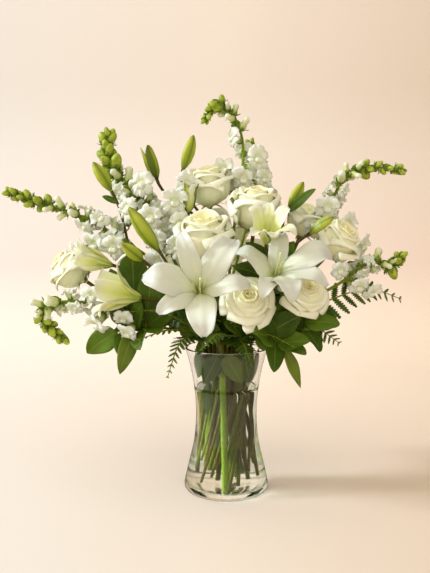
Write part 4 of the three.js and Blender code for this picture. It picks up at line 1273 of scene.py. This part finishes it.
def add_frond(shape, points, leaflet, facing, rng):
    line = spline(points, 40)
    ways = tangents(line)
    shape.tube(line, np.linspace(STEM_RADIUS["fern"], 0.5, len(line)), 8, "stem", tint=0.75)
    for i in range(PINNA_PAIRS):
        t = 0.06 + 0.92 * i / (PINNA_PAIRS - 1)
        k = int(t * (len(line) - 1))
        level = unit(np.cross(ways[k], facing))
        for hand in (-1, 1):
            out = unit(level * hand + ways[k] * 0.5 + (0, 0, rng.uniform(-0.12, 0.06)))
            reach = leaflet * (1.15 - t) * rng.uniform(0.92, 1.08)
            add_pinna(shape, line[k], out, ways[k], reach, rng)


def add_pinna(shape, root, out, way, reach, rng):
    """A side leaflet of a fern: a narrow toothed blade along its own rib."""
    tip = root + out * reach + (0, 0, -0.12 * reach)
    shape.tube(np.linspace(root, tip, 5), np.linspace(0.6, 0.25, 5), 5, "fern", tint=0.6)
    grid = leaf_grid(root, tip, reach * 0.36, rise=0.0, fold=0.12, waves=0.02, rows=25, columns=5,
                     seed=rng.randrange(1000), outline=toothed_outline, across=way)
    shape.skin(grid, 0.4, "fern", tint=rng.uniform(0, 0.6), thin_edge=0.6)


def grow_sprig(shape, index, name, twig, leaves, slot, vase_leaves):
    """A twig with the leaves of its table, a crowd of others, and those inside the vase."""
    line = spline(twig, 25)
    whole, radii = stem_and_line(slot, line, tangents(line), STEM_RADIUS["sprig"], 0.9, bends=14)
    shape.tube(whole, radii, 9, "stem", tint=0.15 + 0.1 * (index % 3), level_start=True)
    face = SPRIG_FACING.get(name, direction(math.radians(slot[1]), 0.7))
    for k, (t, tip, width) in enumerate(leaves):
        root = line[round(t * (len(line) - 1))]
        finish = "olive_leaf" if (name, k) in OLIVE_LEAVES else "salal"
        across = unit(np.cross(tip - root, face))
        add_twig_leaf(shape, root, tip, width, SEEDS["sprig_leaf"] + index * 10 + k, finish, across=across)
    count = 18 if twig[0][1] < 0 else 14
    add_crowd(shape, whole[14:], slot[1], count, SEEDS["crowd"] + index)
    for k, (root, tip, width) in enumerate(vase_leaves):
        round_the_glass = np.array([-root[1], root[0], 0.0])
        grid = leaf_grid(root, tip, width, rise=0.0, fold=0.0, waves=0.01,
                         seed=SEEDS["vase_leaf"] + index * 5 + k, across=round_the_glass)
        shape.skin(grid, 0.6, "olive_leaf" if (name, k) == OLIVE_VASE_LEAF else "salal")


def build_pieces():
    """The vase, the water, and a piece for every row of the tables. Roses have two pieces, and the one
    made here is the stem."""
    add_piece("vase_glass", vase_shape(), "vase_glass", "vase")
    add_piece("vase_water", water_shape(), "water", "water_lower", "water_upper")
    for table, grow, node_ending, ending, slot in (
        (ROSES, grow_rose, "_stem", "_stalk", "rose_stem"),
        (LILY_STEMS, grow_lily_stem, "", "_trunk", "lily_stem"),
        (BLOOMS, grow_bloom, "", "_flower", "lily_petal"),
        (BUDS, grow_bud, "", "_closed", "lily_bud"),
        (SNAPDRAGONS, grow_snapdragon, "", "_spike", "snapdragon"),
        (FERNS, grow_fern, "", "_frond", "fern_leaf"),
        (SPRIGS, grow_sprig, "", "_leaves", "lemon_leaf"),
    ):
        for index, (name, row) in enumerate(table.items()):
            shape = Shape()
            grow(shape, index, name, *row)
            add_piece(name + ending, shape, slot, name + node_ending)


# ---------------------------------------------------------------- stage, camera and lights

def sweep_outline():
    """The floor seen from its side, in metres: level, then rising behind the object in a smooth sweep."""
    far, radius, top, steps = 0.9, 0.9, 4.0, 12
    bow = [math.pi / 2 * k / steps for k in range(1, steps + 1)]
    level = [(-3.0, 0.0), (far, 0.0)]
    rising = [(far + radius * math.sin(a), radius * (1 - math.cos(a))) for a in bow]
    return level + rising + [(far + radius, top)]


def backdrop_material():
    """Cream paper with painted shade: warmer and darker to the right, where the light from the lamp on the
    left falls off; a little darker where it rises, a painted shade that evens out the lamps' stronger light
    there; and a painted cooler tint above.
    """
    look = Look("backdrop", Roughness=0.85, Specular_IOR_Level=0.1)
    x, y, z = look.parts(look.place())
    from_camera = (y + CAMERA_BACK).maths("MAXIMUM", 0.3)
    # Painted shade: the paper darkens and warms towards the right, as the light from the left falls off.
    across = (x / from_camera + look.noise(3.0) * 0.06) * 1.6 + 0.45
    stops = (0.0, (0.86, 0.78, 0.7)), (0.5, (0.875, 0.748, 0.63)), (1, (0.77, 0.632, 0.5))
    colour = look.ramp(across, *stops)
    # Painted shade and tint by height: darker where the sweep rises and the lamps light it most, and a
    # painted cooler tint higher up, where the cool key lamp hardly reaches.
    painted_height_shade = look.ramp(z / 1.4, (0, (1, 1, 1)), (0.16, (0.865, 0.828, 0.85)), (0.45, (0.885, 0.92, 0.975)))
    look.give(Base_Color=look.mix(1.0, colour, painted_height_shade, "MULTIPLY"))
    return look.material


def build_stage():
    outline = sweep_outline()
    half_width = 4.0
    spots = [(x, y, z) for y, z in outline for x in (-half_width, half_width)]
    faces = [(2 * i, 2 * i + 1, 2 * i + 3, 2 * i + 2) for i in range(len(outline) - 1)]
    mesh = bpy.data.meshes.new("floor")
    mesh.from_pydata(spots, [], faces)
    mesh.polygons.foreach_set("use_smooth", [True] * len(faces))
    mesh.materials.append(backdrop_material())
    floor = show(bpy.data.objects.new("floor", mesh))
    # Its image in the front of the glass would lie as a haze on the stems.
    floor.visible_glossy = False


def add_light(name, kind, place, aim, energy, colour, **settings):
    """Adds a light. Its aim points from what it lights towards it."""
    data = bpy.data.lights.new(name, kind)
    data.energy = energy
    data.color = colour
    for key, value in settings.items():
        setattr(data, key, value)
    light = show(bpy.data.objects.new(name, data))
    light.location = place
    light.rotation_euler = Vector(aim).to_track_quat("Z", "Y").to_euler()
    return light


def build_lights():
    left, front = Vector((-0.95, -0.04, 0.48)), Vector((-0.35, -0.8, 0.6))
    add_light("key", "SUN", left * SUN_DISTANCE, left, 2.35, (0.93, 1.03, 1.14), angle=math.radians(10))
    fill = add_light("fill", "SUN", front * SUN_DISTANCE, front, 1.68, (1, 0.96, 0.87),
                     angle=math.radians(110))
    # Its wide disc would lie as a haze on the whole vase.
    fill.visible_glossy = False
    fill.visible_transmission = False
    add_light("wash", "AREA", (-0.3, 0.5, 2.6), (0, -1.25, 1.4), 5, (1, 0.96, 0.92),
              shape="RECTANGLE", size=3, size_y=0.5, spread=math.radians(100))
    world = bpy.data.worlds.new("studio")
    bpy.context.scene.world = world
    world.use_nodes = True
    background = world.node_tree.nodes["Background"]
    background.inputs["Color"].default_value = (1, 0.91, 0.77, 1)
    background.inputs["Strength"].default_value = 0.45
    world.cycles_visibility.glossy = False


def allow_bounces():
    """Enough bounces for light to find its way through the glass and the water."""
    cycles = bpy.context.scene.cycles
    cycles.max_bounces = 32
    cycles.glossy_bounces = 20
    cycles.transmission_bounces = 32
    cycles.transparent_max_bounces = 24


def build_camera():
    data = bpy.data.cameras.new("camera")
    data.sensor_fit = "VERTICAL"
    data.sensor_height = SENSOR
    data.lens = SENSOR * FOCAL_PIXELS / FRAME_PIXELS
    data.clip_end = 20
    camera = show(bpy.data.objects.new("camera", data))
    camera.location = CAMERA_PLACE
    camera.rotation_euler = (math.pi / 2 - CAMERA_PITCH, 0, 0)
    bpy.context.scene.camera = camera


MATERIALS = make_materials()
build_pieces()
build_stage()
build_lights()
build_camera()
allow_bounces()
bpy.context.scene.view_settings.view_transform = "Standard"
